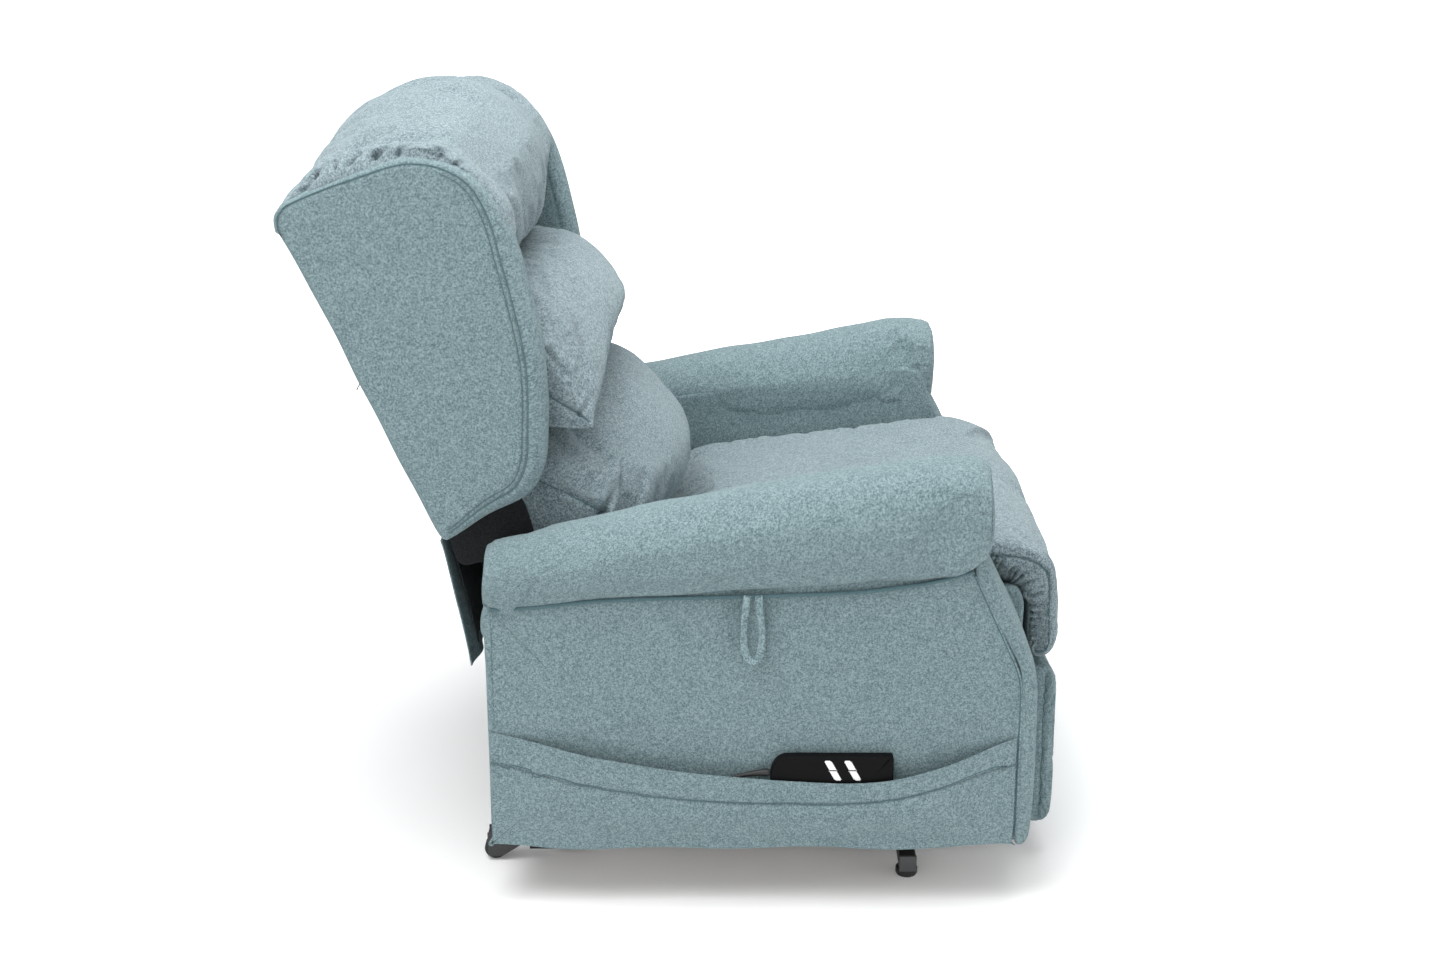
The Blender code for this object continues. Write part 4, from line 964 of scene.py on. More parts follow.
def arm(side, name):
    path = spaced(catmull(ARM, False, 16), 110, False)
    if side > 0:
        path[:, 1] -= 0.011 * smooth01((0.27 - path[:, 0]) / 0.15) * smooth01((path[:, 0] + 0.43) / 0.25)
        path[:, 1] -= 0.008 * smooth01((0.15 - path[:, 0]) / 0.40)
    a = np.linspace(0, 2 * math.pi, 96, endpoint=False)
    c, sn = np.cos(a), np.sin(a)
    outer_low = smooth01((c + 0.3) / 0.6) * smooth01((-sn + 0.2) / 0.5)
    inner_low = smooth01((0.3 - c) / 0.6) * smooth01((-sn + 0.2) / 0.5)
    rows, flats = [], []
    for y, z, rx, rz in path:
        along = smooth01((y + 0.432) / 0.06) * smooth01((0.285 - y) / 0.05)
        p = 2.15 + (2.4 * outer_low + 3.5 * inner_low) * along
        cx = np.sign(c) * np.abs(c) ** (2 / p)
        cz = np.sign(sn) * np.abs(sn) ** (2 / p)
        x = side * (ARM_X + rx * cx)
        sag = -0.0100 * outer_low * smooth01(-sn / 0.8) * along
        rows.append(np.column_stack([x, np.full_like(x, y), z + rz * cz + sag]))
        flats.append(False)
    for end, y_out in ((0, 0.2788), (-1, -0.4345)):
        ring = rows[end]
        centre = ring.mean(0)
        caps = []
        for f in (0.10, 0.22, 0.40, 0.60, 0.80, 0.93):
            r = ring + (centre - ring) * f
            r[:, 1] = ring[0, 1] + (y_out - ring[0, 1]) * (1 - (1 - f) ** 3)
            caps.append(r)
        if end == 0:
            rows, flats = caps[::-1] + rows, [True] * 6 + flats
        else:
            rows, flats = rows + caps, flats + [True] * 6
    s = Sheet(np.array(rows), flats, axis=1)
    hold = np.zeros(s.P.shape[:2])
    hold[(s.P[..., 1] < -0.424) | (s.P[..., 1] > 0.27)] = 1.0
    hold = np.maximum(hold, smooth01((0.03 - (s.P[..., 2] - (0.60 - 0.25 * (s.P[..., 1] + 0.4) - 0.09))) / 0.03) * 0.5)
    s = puff(s, hold, 1.6, -0.015, 0.006)
    s.refine()
    r = np.random.default_rng(50 + side)
    for k in range(22):
        ang = 2 * math.pi * (k + r.uniform(-0.3, 0.3)) / 22
        rim = 0.0735
        deep = (side * (ARM_X + rim * math.cos(ang)), -0.4200, ARM_TOP + rim * math.sin(ang))
        length = r.uniform(0.012, 0.034)
        turn = r.uniform(-0.004, 0.004)
        rim += 0.002
        shallow = (side * (ARM_X + rim * math.cos(ang) + turn), -0.4200 + length, ARM_TOP + rim * math.sin(ang) - turn)
        s.tuck(deep, shallow, r.uniform(0.0026, 0.0040), r.uniform(0.0010, 0.0022), 0.15)
    turns = np.linspace(0, 2 * math.pi, 49)
    front_ring = [(side * (ARM_X + 0.0640 * math.cos(t)), -0.4290, ARM_TOP + 0.0605 * math.sin(t)) for t in turns]
    s.groove(front_ring, 0.0040, 0.0022, 0.6, 0.003)
    s.waves(5.0, 0.0016, 60 + side)
    s.waves(14.0, 0.0007, 61 + side)
    # painted shade along the lowest line of the roll, where it overhangs the side panel
    for row, (x, y, z) in enumerate(s.P.transpose(0, 2, 1)):
        if -0.425 < y.mean() < 0.275:
            under_roll_shade = np.exp(-(((z - z.min()) / 0.008) ** 2)) * (np.abs(x) > 0.455)
            s.seam[row] = np.maximum(s.seam[row], 0.9 * under_roll_shade)
    obj = build("arm_cover_" + name, s, WEAVE, (0, 2), math.radians(4 * side))
    place(obj, "chassis", "teal_weave", "arm_pad_" + name)
    seam_cord("arm_front_seam_" + name, obj, front_ring, "chassis", 0.0016, mat=PIPING)
    # dark thread tube at the joint under the roll: a seam that also stands in for the shadow beneath the roll
    line = at_x(side * 0.4770, spaced(catmull(ARM_UNDER, False), 120, False))
    tone = tube("arm_under_seam_and_shadow_" + name, line, np.tile([side, 0, 0], (120, 1)), 0.0030, THREAD, 8)
    place(tone, "chassis", "teal_weave")


for arm_side in SIDES:
    arm(*arm_side)


# ------------------------------------------------------------------ side box
PANEL = metres("""
    2785 985, 2788 2500, 2786 4560, 2740 4680, 2000 4800, 1000 4930, -1000 5120, -3000 5330, -3850 5400,
    -4080 5150, -4300 4700, -4555 4150, -4800 3580, -4845 3000, -4850 2500, -4850 1700, -4840 1080, -4740 985,
    -3000 945, -1000 955, 1000 945, 2700 965
""")
PANEL_CORE = [(0.1200, 0.2850), (-0.2800, 0.2850)]


PANEL_FRONT = metres("-4070 5130, -4265 4690, -4515 4150, -4755 3580, -4795 3000, -4798 2500, -4798 1700, -4790 1080")


def panel(side, name):
    s = padded(PANEL, 230, PANEL_CORE, 0.4592, 0.4745, 0.0060, 0.0060, side, mid=2, face=22, nose=4, crown=(0, 0.0004))
    outer = np.abs(s.P[..., 0]) > 0.466
    z, y = s.P[..., 2], s.P[..., 1]
    hem = smooth01((0.14 - z) / 0.05)
    s.P[..., 0] += side * outer * (0.0009 * value_noise(s.P, 4.0, 70 + side) + 0.0006 * np.sin(z * 40 + y * 9))
    s.P[..., 2] += hem * 0.0012 * np.sin(y * 34 + 0.8 + side)
    if side < 0:
        for dy, dz, depth in ((-0.078, 0.470, 0.004), (-0.120, 0.470, 0.004), (-0.099, 0.455, 0.002)):
            d = np.hypot((y - dy) / 0.020, (z - dz) / 0.030)
            s.P[..., 0] -= side * outer * depth * np.exp(-(d**2))
    obj = cover("side_panel_" + name, s, "chassis", "side_cover_" + name)
    rear = at_x(side * 0.4750, [(0.2690, 0.280), (0.2692, 0.35), (0.2690, 0.452)])
    place(stitches("side_panel_stitches_" + name, obj, [rear], 0.0065, 0.0038), "chassis", "teal_weave")
    front = spaced(catmull(PANEL_FRONT, False), 90, False)
    seam_cord("side_panel_seam_" + name, obj, at_x(side * 0.4765, front), "chassis", 0.0014, 0.0)
    piping = at_x(side * 0.4765, front - (0.0032, 0.0012))
    seam_cord("side_panel_piping_" + name, obj, piping, "chassis", 0.0022, 0.0002, PIPING)


for panel_side in SIDES:
    panel(*panel_side)

REAR_COVER = metres("""
    2695 1020, 2692 2000, 2692 4300, 2695 4640, 2740 4660, 2780 4600, 2784 4000, 2784 2000, 2782 1050,
    2740 1000
""")


def rear_cover(side, name):
    """Fabric that closes the back of a side box."""
    core = [(0.2738, 0.112), (0.2738, 0.452)]
    s = padded(REAR_COVER, 120, core, 0.3500, 0.4750, 0.0040, 0.0035, side, mid=16, face=3, nose=4)
    s.waves(7.0, 0.0008, 74 + side)
    cover("side_rear_cover_" + name, s, "chassis")


for cover_side in SIDES:
    rear_cover(*cover_side)

INNER = metres("""
    2640 3500, 2640 4850, 2000 5080, 500 5360, -1200 5600, -2800 5800, -3900 5900, -4180 5500, -4240 4960,
    -4450 4450, -4620 4050, -4755 3600, -4725 2200, -4725 1100, -4400 1010, -3900 1600, -3500 3000, -1500 3400
""")
INNER_CORE = metres("2000 4200, 0 4400, -2000 4550, -3600 4400, -4150 3400, -4350 2000")


def inner_panel(side, name):
    s = padded(INNER, 220, INNER_CORE, 0.3475, 0.3795, 0.0100, 0.0100, refine=False, mid=3, face=9, nose=5)
    s.P[..., 0] += 0.0020 * smooth01((s.P[..., 2] - 0.43) / 0.08) * smooth01((s.P[..., 1] + 0.47) / 0.05)
    s.refine()
    if side < 0:
        s.mirror()
    s.waves(8.0, 0.0008, 80 + side)
    cover("inner_panel_" + name, s, "chassis", "inner_cover_" + name)


for panel_side in SIDES:
    inner_panel(*panel_side)

FACING = metres("""
    -4870 925, -4960 990, -5010 1180, -5030 1800, -5030 2900, -4970 3650, -4780 4190, -4520 4710, -4290 5200,
    -4180 5420, -4050 5400, -4100 5080, -4330 4560, -4610 4000, -4785 3600, -4805 2900, -4805 1800, -4800 1050
""")
FACING_CORE = metres("-4905 1150, -4918 1800, -4918 2900, -4870 3620, -4690 4100, -4425 4640, -4180 5200")


def facing(side, name):
    shape = dict(mid=18, face=3, nose=6, crown=(0.001, 0.001))
    s = padded(FACING, 190, FACING_CORE, 0.3485, 0.4785, 0.0110, 0.0080, side, **shape)
    x = np.abs(s.P[..., 0])
    frontal = smooth01((x - 0.352) / 0.02) * smooth01((0.474 - x) / 0.02)
    middle_y = np.interp(s.P[..., 2], [0.1, 0.29, 0.365, 0.47, 0.52], [-0.49, -0.49, -0.486, -0.44, -0.42])
    s.push(0.0035 * frontal * (s.P[..., 1] < middle_y))
    s.waves(9.0, 0.0009, 90 + side)
    cover("front_band_" + name, s, "chassis", "front_facing_" + name)


for facing_side in SIDES:
    facing(*facing_side)


# ------------------------------------------------------------------ side pocket, loop, handset
POCKET = metres("""
    2760 1000, 2765 2000, 2760 2730, 2700 2735, 1900 2570, 1190 2405, 200 2235, -810 2130, -1600 2060,
    -2390 2030, -3100 2110, -3950 2370, -4680 2625, -4755 2620, -4760 2000, -4755 1040, -4660 965, -3000 930,
    -1000 950, 1000 925, 2680 950
""")
POCKET_CORE = metres("2100 1750, 0 1580, -2400 1500, -4100 1700")


def pocket():
    s = padded(POCKET, 240, POCKET_CORE, 0.4945, 0.4970, 0.00125, 0.0010, -1, face=16, nose=3)
    y, z = s.P[..., 1], s.P[..., 2]
    ends = smooth01((y + 0.4745) / 0.11) * smooth01((0.2750 - y) / 0.16)
    low = smooth01((z - 0.098) / 0.055)
    proud = ends * (0.35 + 0.65 * low)
    hand = np.exp(-(((y + 0.205) / 0.14) ** 2))
    shift = -0.0177 * (1 - proud) + 0.0022 * hand * low
    s.P[..., 0] -= shift
    s.P[..., 0] -= ends * 0.0016 * np.sin(y * 21 + z * 12) * low
    s.P[..., 2] += smooth01((0.13 - z) / 0.04) * 0.0022 * np.sin(y * 27 + 0.4)
    hem = metres("""
        2765 2280, 2000 2090, 1190 1940, 200 1800, -810 1720, -1600 1705, -2390 1720, -3100 1800, -3950 2030,
        -4760 2240
    """)
    hem = spaced(catmull(hem, False), 80, False)
    temp = build("temp", s, WEAVE)
    hem_line, _ = drape(temp, at_x(-0.500, hem))
    s.groove(hem_line, 0.0030, 0.0013, 0.85, 0.0022)
    bpy.data.objects.remove(temp)
    obj = cover("pocket_cover", s, "chassis", "side_pocket")
    seam_cord("pocket_hem_seam", obj, at_x(-0.503, hem), "chassis", 0.0008, 0.0001)


pocket()


def strap(name, path, normals, width, thick, mat, body, slot, *nodes):
    """Flat webbing along a path."""
    path = np.asarray(path, float)
    tangent = unit(np.gradient(path, axis=0))
    normals = np.asarray(normals, float)
    normals = unit(normals - (normals * tangent).sum(1, keepdims=True) * tangent)
    wide = np.cross(tangent, normals)
    a = np.linspace(0, 2 * math.pi, 20, endpoint=False)
    ca, sa = np.cos(a), np.sin(a)
    px = np.sign(ca) * np.abs(ca) ** 0.45 * width / 2
    py = np.sign(sa) * np.abs(sa) ** 0.7 * thick / 2
    rows = path[:, None] + px[None, :, None] * wide[:, None] + py[None, :, None] * normals[:, None]
    cover(name, Sheet(rows, [False] * len(rows)), body, *nodes, mat=mat, slot=slot)


def loop():
    centre = metres("""
        -905 4840, -890 4700, -865 4450, -855 4200, -885 4000, -945 3895, -1010 3885, -1075 3960, -1110 4150,
        -1105 4400, -1075 4680, -1065 4840
    """)
    path = at_x(-0.4805, spaced(catmull(centre, False), 90, False))
    path[:, 0] -= 0.0065 * np.sin(np.linspace(0, math.pi, 90)) ** 0.5
    toward = np.array([0, -0.0985, 0.430]) - path
    toward[:, 0] = 0
    normals = unit(toward) * 0.75 + np.array([-0.66, 0, 0])
    strap("pull_loop_strap", path, normals, 0.0110, 0.0050, PIPING, "chassis", "teal_weave", "pull_loop")


loop()


def doubled(corners, gap):
    """Each corner twice, a gap apart, so that a smooth path keeps it sharp."""
    return np.repeat(corners, 2, axis=0) + np.tile([[gap, 0], [0, gap]], (len(corners), 1))


def handset():
    outline = metres("""
        -1243 1720, -1243 1900, -1243 2120, -1262 2240, -1320 2350, -1410 2412, -1530 2430, -2000 2430,
        -2900 2430, -2955 2428, -2990 2410, -3000 2370, -3000 2300, -3000 1760, -2990 1715, -2950 1702,
        -2000 1700, -1290 1702
    """)
    core = [(-0.15, 0.207), (-0.27, 0.207)]
    s = padded(outline, 200, core, 0.4766, 0.4930, 0.0030, 0.0028, -1, mid=3, face=8, nose=5)
    cover("handset_shell", s, "handset", "handset_case", mat=CASE_PLASTIC, slot="black_plastic")
    cable = metres("-1235 2150, -1120 2145, -1000 2130, -850 2105, -700 2050, -550 1900, -450 1650, -300 1350")
    path = at_x(-0.4850, spaced(catmull(cable, False), 60, False))
    t = np.linspace(0, 1, 60)
    radius = np.interp(t, [0, 0.06, 0.12, 0.3, 1.0], [0.0052, 0.0055, 0.0046, 0.0032, 0.0030])
    radius = radius + 0.0004 * np.sin(t * 220) * (t < 0.3)
    cable = tube("handset_cable", path, np.tile([1.0, 0, 0], (60, 1)), radius, BLACK_PLASTIC, 12)
    place(cable, "handset", "black_plastic")
    for index in range(1, 5):
        node = "handset_button_%d" % index
        lo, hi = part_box(node)
        co = np.array([v.co for v in NODES[node].data.vertices])
        face = np.unique(np.round(co[np.abs(co[:, 0] - lo.x) < 0.0005][:, 1:], 5), axis=0)
        centre = face.mean(0)
        order = np.argsort(np.arctan2(face[:, 1] - centre[1], face[:, 0] - centre[0]))
        face = centre + (face - centre) * (1.0, 0.93)
        ring = spaced(catmull(doubled(face[order], 1e-5), True, 6), 60)
        core = [centre + (0.0018, 0.0035), centre - (0.0018, 0.0035)]
        b = slab(ring, core, -hi.x, -lo.x + 0.0004, 0.0008, 0.0010, mid=2, face=5, nose=4, crown=(0, 0.0003))
        cover("button_cap_%d" % index, b.mirror(), "button_%d" % index, node, mat=WHITE_PLASTIC, slot="white_plastic")


handset()


# ------------------------------------------------------------------ seat
SEAT = metres("""
    450 3850, 520 3980, 380 4160, 50 4420, -300 4550, -700 4620, -2000 4790, -3500 4980, -4300 5050,
    -4830 5040, -5190 4940, -5400 4730, -5450 4450, -5475 4050, -5455 3570, -5395 3320, -5250 3250, -5105 3330,
    -5065 3650, -5065 4000, -5020 4280, -4860 4480, -4600 4540, -4300 4520, -3500 4420, -2000 4230, -700 4020,
    100 3850
""")
SEAT_CORE = metres("""
    200 3920, -400 4180, -2000 4450, -3500 4660, -4400 4780, -4900 4720, -5150 4530, -5260 4250, -5270 3900,
    -5260 3550
""")
GATHER_EDGE = metres("-4160 4850, -4460 4810, -4770 4640, -4970 4470, -5035 4250, -5055 3980, -5060 3700, -5120 3480")


def seat_ride(obj):
    """Bakes the object's placement into its mesh."""
    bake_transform(obj)


def end_face(s, side):
    """Looks up x on one end of a padded piece, from y and z."""
    flat = s.P.reshape(-1, 3)
    flat = flat[flat[:, 0] * side > 0.318]

    def x_at(y, z):
        near = np.argsort((flat[:, 1] - y) ** 2 + (flat[:, 2] - z) ** 2)[:12]
        return side * (flat[near, 0] * side).max()

    return x_at


def seat():
    outline = spaced(catmull(SEAT), 250)
    s = slab(outline, SEAT_CORE, -0.3340, 0.3340, 0.0130, 0.0110, mid=58, face=4, nose=5, crown=(0.002, 0.002))
    x = np.abs(s.P[..., 0])
    crown = (1 - (x / 0.334) ** 4)
    y, z = s.P[..., 1], s.P[..., 2]
    upper = smooth01((z - np.interp(y, [-0.52, -0.44, 0.02], [0.45, 0.478, 0.40])) / 0.02) * (y > -0.53)
    s.P[..., 2] += upper * (0.006 * crown - 0.006)
    hold = np.zeros(s.P.shape[:2])
    lower = (y > -0.49) & (z < np.interp(y, [-0.49, -0.44, 0.02], [0.46, 0.478, 0.40]))
    hold[lower] = 1.0
    hold[(y < -0.495) & (y > -0.512) & (z < 0.445)] = 0.8
    hold[y > 0.02] = 1.0
    hold[np.abs(x - 0.3335) < 0.0025] = 0.85
    s = puff(s, hold, 2.4, -0.035, 0.010)
    s.refine()
    r = np.random.default_rng(77)
    seam_line = ring_line(s, 0.0)
    low_seam = ring_line(s, 0.0, True)
    path = spaced(catmull(GATHER_EDGE, False), 60, False)
    ahead = unit(np.gradient(path, axis=0))
    outward = -across(path)
    for line, side in ((seam_line, 1), (low_seam, -1)):
        brow = np.interp(line[:, 1], [-0.508, -0.44, 0.02], [0.46, 0.478, 0.40])
        outer = line[(line[:, 1] < -0.508) | (line[:, 2] > brow)]
        turn = np.arctan2(outer[:, 2] - 0.30, outer[:, 1] + 0.10)
        s.groove(outer[np.argsort(turn)], 0.0032, 0.0022, 0.75, 0.0026)
        face = end_face(s, side)
        flat_yz = s.P[..., 1:].reshape(-1, 2)
        gap = flat_yz[:, None, :] - path[None, ::3, :]
        near = np.argmin((gap**2).sum(2), axis=1)
        depth = (gap[np.arange(len(near)), near] * outward[::3][near]).sum(1).reshape(s.P.shape[:2])
        within = smooth01((s.P[..., 0] * side - 0.312) / 0.012) * (s.P[..., 1] < -0.405)
        s.P[..., 0] -= side * 0.010 * within * smooth01(-depth / 0.007)
        edge = np.array([(face(*point), *point) for point in path])
        s.groove(edge, 0.0026, 0.0042, 0.85, 0.0034)
        for k in range(17):
            i = int((k + r.uniform(0.20, 0.80)) / 17 * 59)
            start = path[i] + outward[i] * 0.001
            stop = path[i] + outward[i] * r.uniform(0.012, 0.024) + ahead[i] * r.uniform(-0.004, 0.004)
            width, depth = r.uniform(0.0020, 0.0030), r.uniform(0.0050, 0.0085)
            s.tuck((face(*start), *start), (face(*stop), *stop), width, depth, 0.9)
    far = smooth01((s.P[..., 0] - 0.235) / 0.10) ** 2 * smooth01((-0.40 - s.P[..., 1]) / 0.10)
    s.P[..., 1] += 0.007 * far
    s.P[..., 2] -= 0.006 * far * smooth01((s.P[..., 2] - 0.36) / 0.10)
    s.waves(5.0, 0.0018, 78)
    s.waves(14.0, 0.0007, 79)
    obj = build("seat_cover", s, SOFT)
    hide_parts("seat_cushion", "calf_pad")
    seat_ride(obj)
    for (side, tag), line in zip(SIDES, (seam_line, low_seam)):
        brow = np.interp(line[:, 1], [-0.49, -0.44, 0.02], [0.465, 0.478, 0.40])
        top = line[(line[:, 2] > brow) & (line[:, 1] > -0.50) & (line[:, 1] < -0.1)]
        down = line[(line[:, 1] < -0.518) & (line[:, 2] < 0.49)]
        down = down[np.argsort(-down[:, 2])]
        whole = np.vstack([top[np.argsort(-top[:, 1])], down])
        points, normals = drape(obj, spaced(whole, 150, False), -0.0002)
        seat_ride(tube("seat_seam_" + tag, points, normals, 0.0009, THREAD, 6))
        beside = down - np.array([side * 0.003, 0, 0])
        seat_ride(stitches("seat_stitches_" + tag, obj, [beside], 0.0055, 0.0034))


seat()


# ------------------------------------------------------------------ seat base, front rail, footrest board
CORE_BOX = metres("""
    300 3420, 300 3760, -700 3990, -2000 4200, -3500 4390, -4380 4490, -4450 4400, -4450 3450, -4380 3405,
    -2000 3400
""")


def seat_base():
    core = [(0.0, 0.362), (-0.2, 0.38), (-0.40, 0.395)]
    outline = doubled(CORE_BOX, 0.0004)
    s = padded(outline, 150, core, -0.3320, 0.3320, 0.012, 0.010, refine=False, mid=10, face=5, nose=5)
    s.waves(7.0, 0.0012, 85)
    cover("seat_boxing", s, "chassis")


seat_base()

RAIL = metres("""
    -4625 3290, -4625 4360, -4700 4420, -4880 4390, -4975 4200, -4990 3900, -4990 3500, -4950 3290, -4800 3265
""")


def rail():
    core = [(-0.480, 0.345), (-0.480, 0.420)]
    s = padded(RAIL, 80, core, -0.3400, 0.3400, 0.008, 0.007, mid=40, face=4, nose=5)
    s.waves(10.0, 0.0008, 95)
    cover("front_rail_cover", s, "chassis", "front_rail")


rail()

BOARD = metres("""
    -5190 640, -5187 1500, -5187 2300, -5190 3040, -5230 3110, -5360 3125, -5470 3050, -5520 2850, -5530 2300,
    -5530 1500, -5525 850, -5490 640, -5380 550, -5240 555
""")


def board():
    core = [(-0.5355, 0.080), (-0.5355, 0.289)]
    s = padded(BOARD, 130, core, -0.3340, 0.3340, 0.010, 0.009, refine=False, mid=60, face=3, nose=5)
    s = puff(s, (s.P[..., 1] > -0.534).astype(float), 2.0, -0.02, 0.003)
    s.refine()
    for side, _ in SIDES:
        line = at_x(side * 0.334, [(-0.5385, 0.060), (-0.5388, 0.18), (-0.5385, 0.300)])
        s.groove(line, 0.0030, 0.0016, 0.8, 0.0026)
    for height in (0.0565, 0.3040):
        s.groove([(x, -0.5385, height) for x in (-0.33, 0, 0.33)], 0.0030, 0.0014, 0.6, 0.0024)
    s.waves(7.0, 0.0009, 97)
    obj = cover("footrest_cover", s, "footrest", "footrest_board")
    for side, tag in SIDES:
        line = at_x(side * 0.336, [(-0.5385, 0.064), (-0.5388, 0.18), (-0.5385, 0.297)])
        seam_cord("footrest_seam_" + tag, obj, line, "footrest", 0.0009, 0.0001)


board()


# ------------------------------------------------------------------ rear of the back
def back_point(s, d):
    """(y, z) of a point s up the leaning back and d behind it."""
    return (0.270 + s * math.sin(LEAN) - d * math.cos(LEAN), 0.360 + s * math.cos(LEAN) + d * math.sin(LEAN))


def rear_panel():
    corners = metres("""
        1680 265, 1720 60, 3000 35, 4500 35, 6060 60, 6400 100, 6480 220, 6000 265, 4500 265, 3000 265
    """)
    outline = [back_point(*c) for c in corners]
    core = [back_point(0.19, 0.015), back_point(0.62, 0.016)]
    s = padded(outline, 110, core, -0.3485, 0.3485, 0.006, 0.006, mid=50, face=3, nose=4)
    for up in (0.434, 0.426):
        line = [(x, *back_point(up, 0.0035)) for x in (-0.335, 0.0, 0.335)]
        s.groove(line, 0.003, 0.0012, 0.5, 0.003)
    s.P[..., 0] *= 1 - 0.050 * smooth01((0.565 - s.P[..., 2]) / 0.035)
    s.waves(5.0, 0.0012, 101)
    cover("rear_panel_cover", s, "back", "back_panel")


rear_panel()


def zip_fastener():
    """Teeth and pull of the zip across the rear panel."""
    up = np.array([0, math.sin(LEAN), math.cos(LEAN)])
    out = np.array([0, math.cos(LEAN), -math.sin(LEAN)])
    centre = np.array([0, *back_point(0.430, 0.0035)])
    frame_axes = np.array([[1, 0, 0], up, out])
    square = np.array([(-1, -1), (1, -1), (1, 1), (-1, 1)])
    tooth = np.vstack([np.column_stack([square, [-1] * 4]), np.column_stack([0.7 * square, [1] * 4])])
    tooth = tooth * (0.0012, 0.0017, 0.0010) @ frame_axes
    sides = ((0, 1, 2, 3), (4, 5, 6, 7), (0, 1, 5, 4), (1, 2, 6, 5), (2, 3, 7, 6), (3, 0, 4, 7))
    verts, faces = [], []
    for i, x in enumerate(np.arange(-0.325, 0.325, 0.0042)):
        shift = 0.0009 if i % 2 else -0.0009
        faces += [tuple(len(verts) + k for k in side) for side in sides]
        verts += list(tooth + centre + np.array([x, shift, 0.0004]) @ frame_axes)
    place(raw_mesh("zip_teeth", np.array(verts), faces, BLACK_PLASTIC), "back", "black_plastic")
    pull = metres("-3220 30 0, -3220 130 -30, -3220 210 -90, -3220 265 -190", 3)
    pull = spaced(catmull(centre + np.array(pull), False), 24, False)
    strap("zip_pull", pull, np.tile(out, (24, 1)), 0.0055, 0.0016, BLACK_STEEL, "back", "black_plastic")


zip_fastener()


def cloth_sheet(line, half, count, thick, ripple):
    """Thin rippled cloth along a (y, z) line, across the chair."""
    normal = across(line)
    rows = []
    for x in np.linspace(-half, half, count):
        wave = ripple(x)
        ring = np.vstack([line + normal * (wave + thick), (line + normal * (wave - thick))[::-1]])
        rows.append(at_x(x, ring))
    return Sheet(np.array(rows), [False] * count)


def flap():
    path = metres("3520 5170, 3465 4980, 3400 4680, 3320 4300, 3230 3900, 3150 3500, 3105 3210")
    line = spaced(catmull(path, False), 60, False)
    fall = np.linspace(0, 1, 60)[:, None]

    def ripple(x):
        return fall * (0.0035 * math.sin(x * 33 + 1.2) + 0.0025 * math.sin(x * 71 + 0.3))

    s = cloth_sheet(line, 0.3460, 120, 0.0011, ripple)
    hem = line[53] + across(line)[53] * 0.0011
    s.groove([(-0.346, *hem), (0.346, *hem)], 0.003, 0.0006, 0.7, 0.0025)
    cover("rear_curtain", s, "back", "rear_flap")


flap()


def hanging_cloth(name, path, half, material):
    """Thin cloth that hangs along a (y, z) path."""
    line = spaced(catmull(path, False), 40, False)
    s = cloth_sheet(line, half, 60, 0.0008, lambda x: 0.0016 * math.sin(x * 41) + 0.0012 * math.sin(x * 83 + 1))
    return build(name, s, material)


def lining(name, path, half):
    """Black cloth that closes a gap in the back."""
    place(hanging_cloth(name, metres(path), half, LINING), "back", "black_lining")


def bridge():
    """Cloth from the seat to the underside of the lower cushion."""
    path = metres("480 3900, 700 4050, 900 4280, 1150 4520, 1400 4740, 1600 4860")
    obj = hanging_cloth("seat_back_bridge", path, 0.328, WEAVE)
    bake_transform(obj)


bridge()
lining("back_lining_rear", "3000 6400, 3260 5700, 3380 5200, 3320 4700, 3180 4100, 3080 3500", 0.330)


def side_lining(side, name):
    """Black cloth that closes the gap between a wing and the lower cushion."""
    outline = metres("""
        2160 5000, 2260 5600, 2500 6100, 2900 6500, 3300 6550, 3490 6200, 3470 5600, 3380 5100, 3250 4780,
        2900 4820, 2400 4880
    """)
    core = [(0.265, 0.545), (0.315, 0.600)]
    s = padded(outline, 110, core, 0.3310, 0.3370, 0.0025, 0.0025, side, False, mid=2, face=6, nose=3)
    s.waves(9.0, 0.0010, 110 + side)
    cover("side_lining_" + name, s, "back", mat=LINING, slot="black_lining")


for lining_side in SIDES:
    side_lining(*lining_side)
lining("back_lining_under", "3340 5300, 3000 5120, 2500 4980, 2120 4940", 0.326)


# ------------------------------------------------------------------ carried-over CAD nodes
slots = {row["node"]: row["material_slot"] for row in frame["record"]["subparts"]}
for node_name, node in NODES.items():
    if node.hide_render:
        continue
    node_slot = slots[node_name]
    node.data.materials.clear()
    node.data.materials.append(SLOT_MATERIAL[node_slot])
    if node_slot != "black_rubber":
        bevel = node.modifiers.new("edge", "BEVEL")
        bevel.width = 0.0006
        bevel.segments = 2
        bevel.limit_method = "ANGLE"
        bevel.angle_limit = math.radians(40)


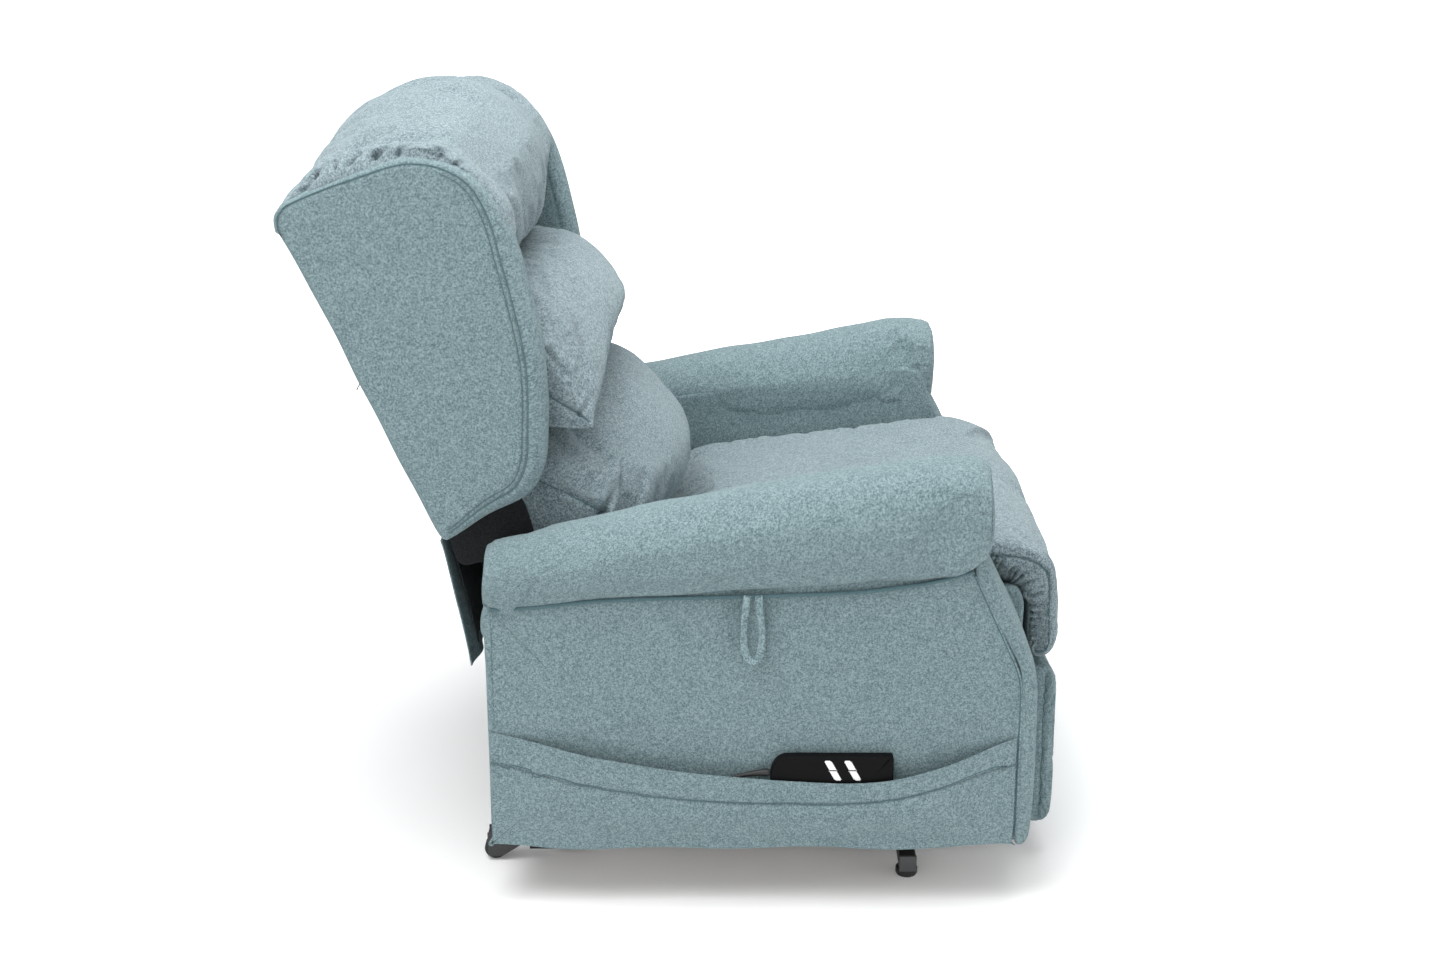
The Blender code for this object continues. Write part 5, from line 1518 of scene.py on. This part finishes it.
# ------------------------------------------------------------------ floor, light, camera
def floor():
    mesh = bpy.data.meshes.new("floor")
    corners = [(-12.0, -12.0, 0), (12.0, -12.0, 0), (12.0, 12.0, 0), (-12.0, 12.0, 0)]
    mesh.from_pydata(corners, [], [(0, 1, 2, 3)])
    obj = bpy.data.objects.new("floor", mesh)
    bpy.context.scene.collection.objects.link(obj)
    n = Nodes("studio_floor")
    place_out = n.new("ShaderNodeTexCoord").outputs["Object"]
    speck = n.noise(place_out, 30.0, 2.0)
    colour = n.mix(speck, (0.90, 0.90, 0.90), (0.94, 0.94, 0.94))
    mesh.materials.append(n.out(Base_Color=colour, Roughness=0.9, Normal=n.bump(speck, 0.0002, 0.2)))
    n.bsdf.inputs["Specular IOR Level"].default_value = 0.1
    n.bsdf.inputs["Emission Color"].default_value = (1, 1, 1, 1)
    away = n.new("ShaderNodeVectorMath", operation="LENGTH")
    n.link(place_out, away.inputs[0])
    seen = n.new("ShaderNodeLightPath").outputs["Is Camera Ray"]
    glow = n.span(away.outputs["Value"], 0.75, 2.4, 0.10, 0.95)
    n.link(n.math("MULTIPLY", glow, seen), n.bsdf.inputs["Emission Strength"])


floor()


def area(name, where, look_at, size, power):
    light = bpy.data.lights.new(name, "AREA")
    light.shape = "RECTANGLE"
    light.size, light.size_y = size
    light.energy = power
    obj = bpy.data.objects.new(name, light)
    obj.location = where
    obj.rotation_euler = (Vector(look_at) - Vector(where)).to_track_quat("-Z", "Y").to_euler()
    bpy.context.scene.collection.objects.link(obj)


world = bpy.data.worlds.new("studio")
world.use_nodes = True
bpy.context.scene.world = world
tree = world.node_tree
background = tree.nodes["Background"]
background.inputs["Color"].default_value = (0.97, 0.985, 1.0, 1.0)
background.inputs["Strength"].default_value = 0.50
bright = tree.nodes.new("ShaderNodeBackground")
bright.inputs["Color"].default_value = (1, 1, 1, 1)
bright.inputs["Strength"].default_value = 1.1
ray = tree.nodes.new("ShaderNodeLightPath")
mixer = tree.nodes.new("ShaderNodeMixShader")
tree.links.new(ray.outputs["Is Camera Ray"], mixer.inputs[0])
tree.links.new(background.outputs[0], mixer.inputs[1])
tree.links.new(bright.outputs[0], mixer.inputs[2])
tree.links.new(mixer.outputs[0], tree.nodes["World Output"].inputs["Surface"])

area("key", (-1.4, 1.1, 3.4), (0, 0, 0.5), (2.2, 2.2), 84)
area("top", (0.3, -0.2, 3.6), (0, 0, 0.4), (2.6, 2.6), 90)
area("side", (-3.6, 0.6, 1.8), (0, 0, 0.5), (2.4, 2.0), 22)
area("front", (-1.6, -3.4, 1.6), (0, 0, 0.6), (2.4, 2.0), 30)

SENSOR, FOCAL_PIXELS, PHOTO_WIDTH, TILT_DOWN = 36.0, 2040.0, 1445.0, 18.2325
camera_data = bpy.data.cameras.new("camera")
camera_data.sensor_width = SENSOR
camera_data.lens = FOCAL_PIXELS * SENSOR / PHOTO_WIDTH
camera = bpy.data.objects.new("camera", camera_data)
camera.location = (-3.126, -0.056, 1.522)
camera.rotation_euler = (math.radians(90 - TILT_DOWN), 0, math.radians(-90))
bpy.context.scene.collection.objects.link(camera)
bpy.context.scene.camera = camera
bpy.context.scene.view_settings.view_transform = "Standard"

bpy.context.view_layer.update()
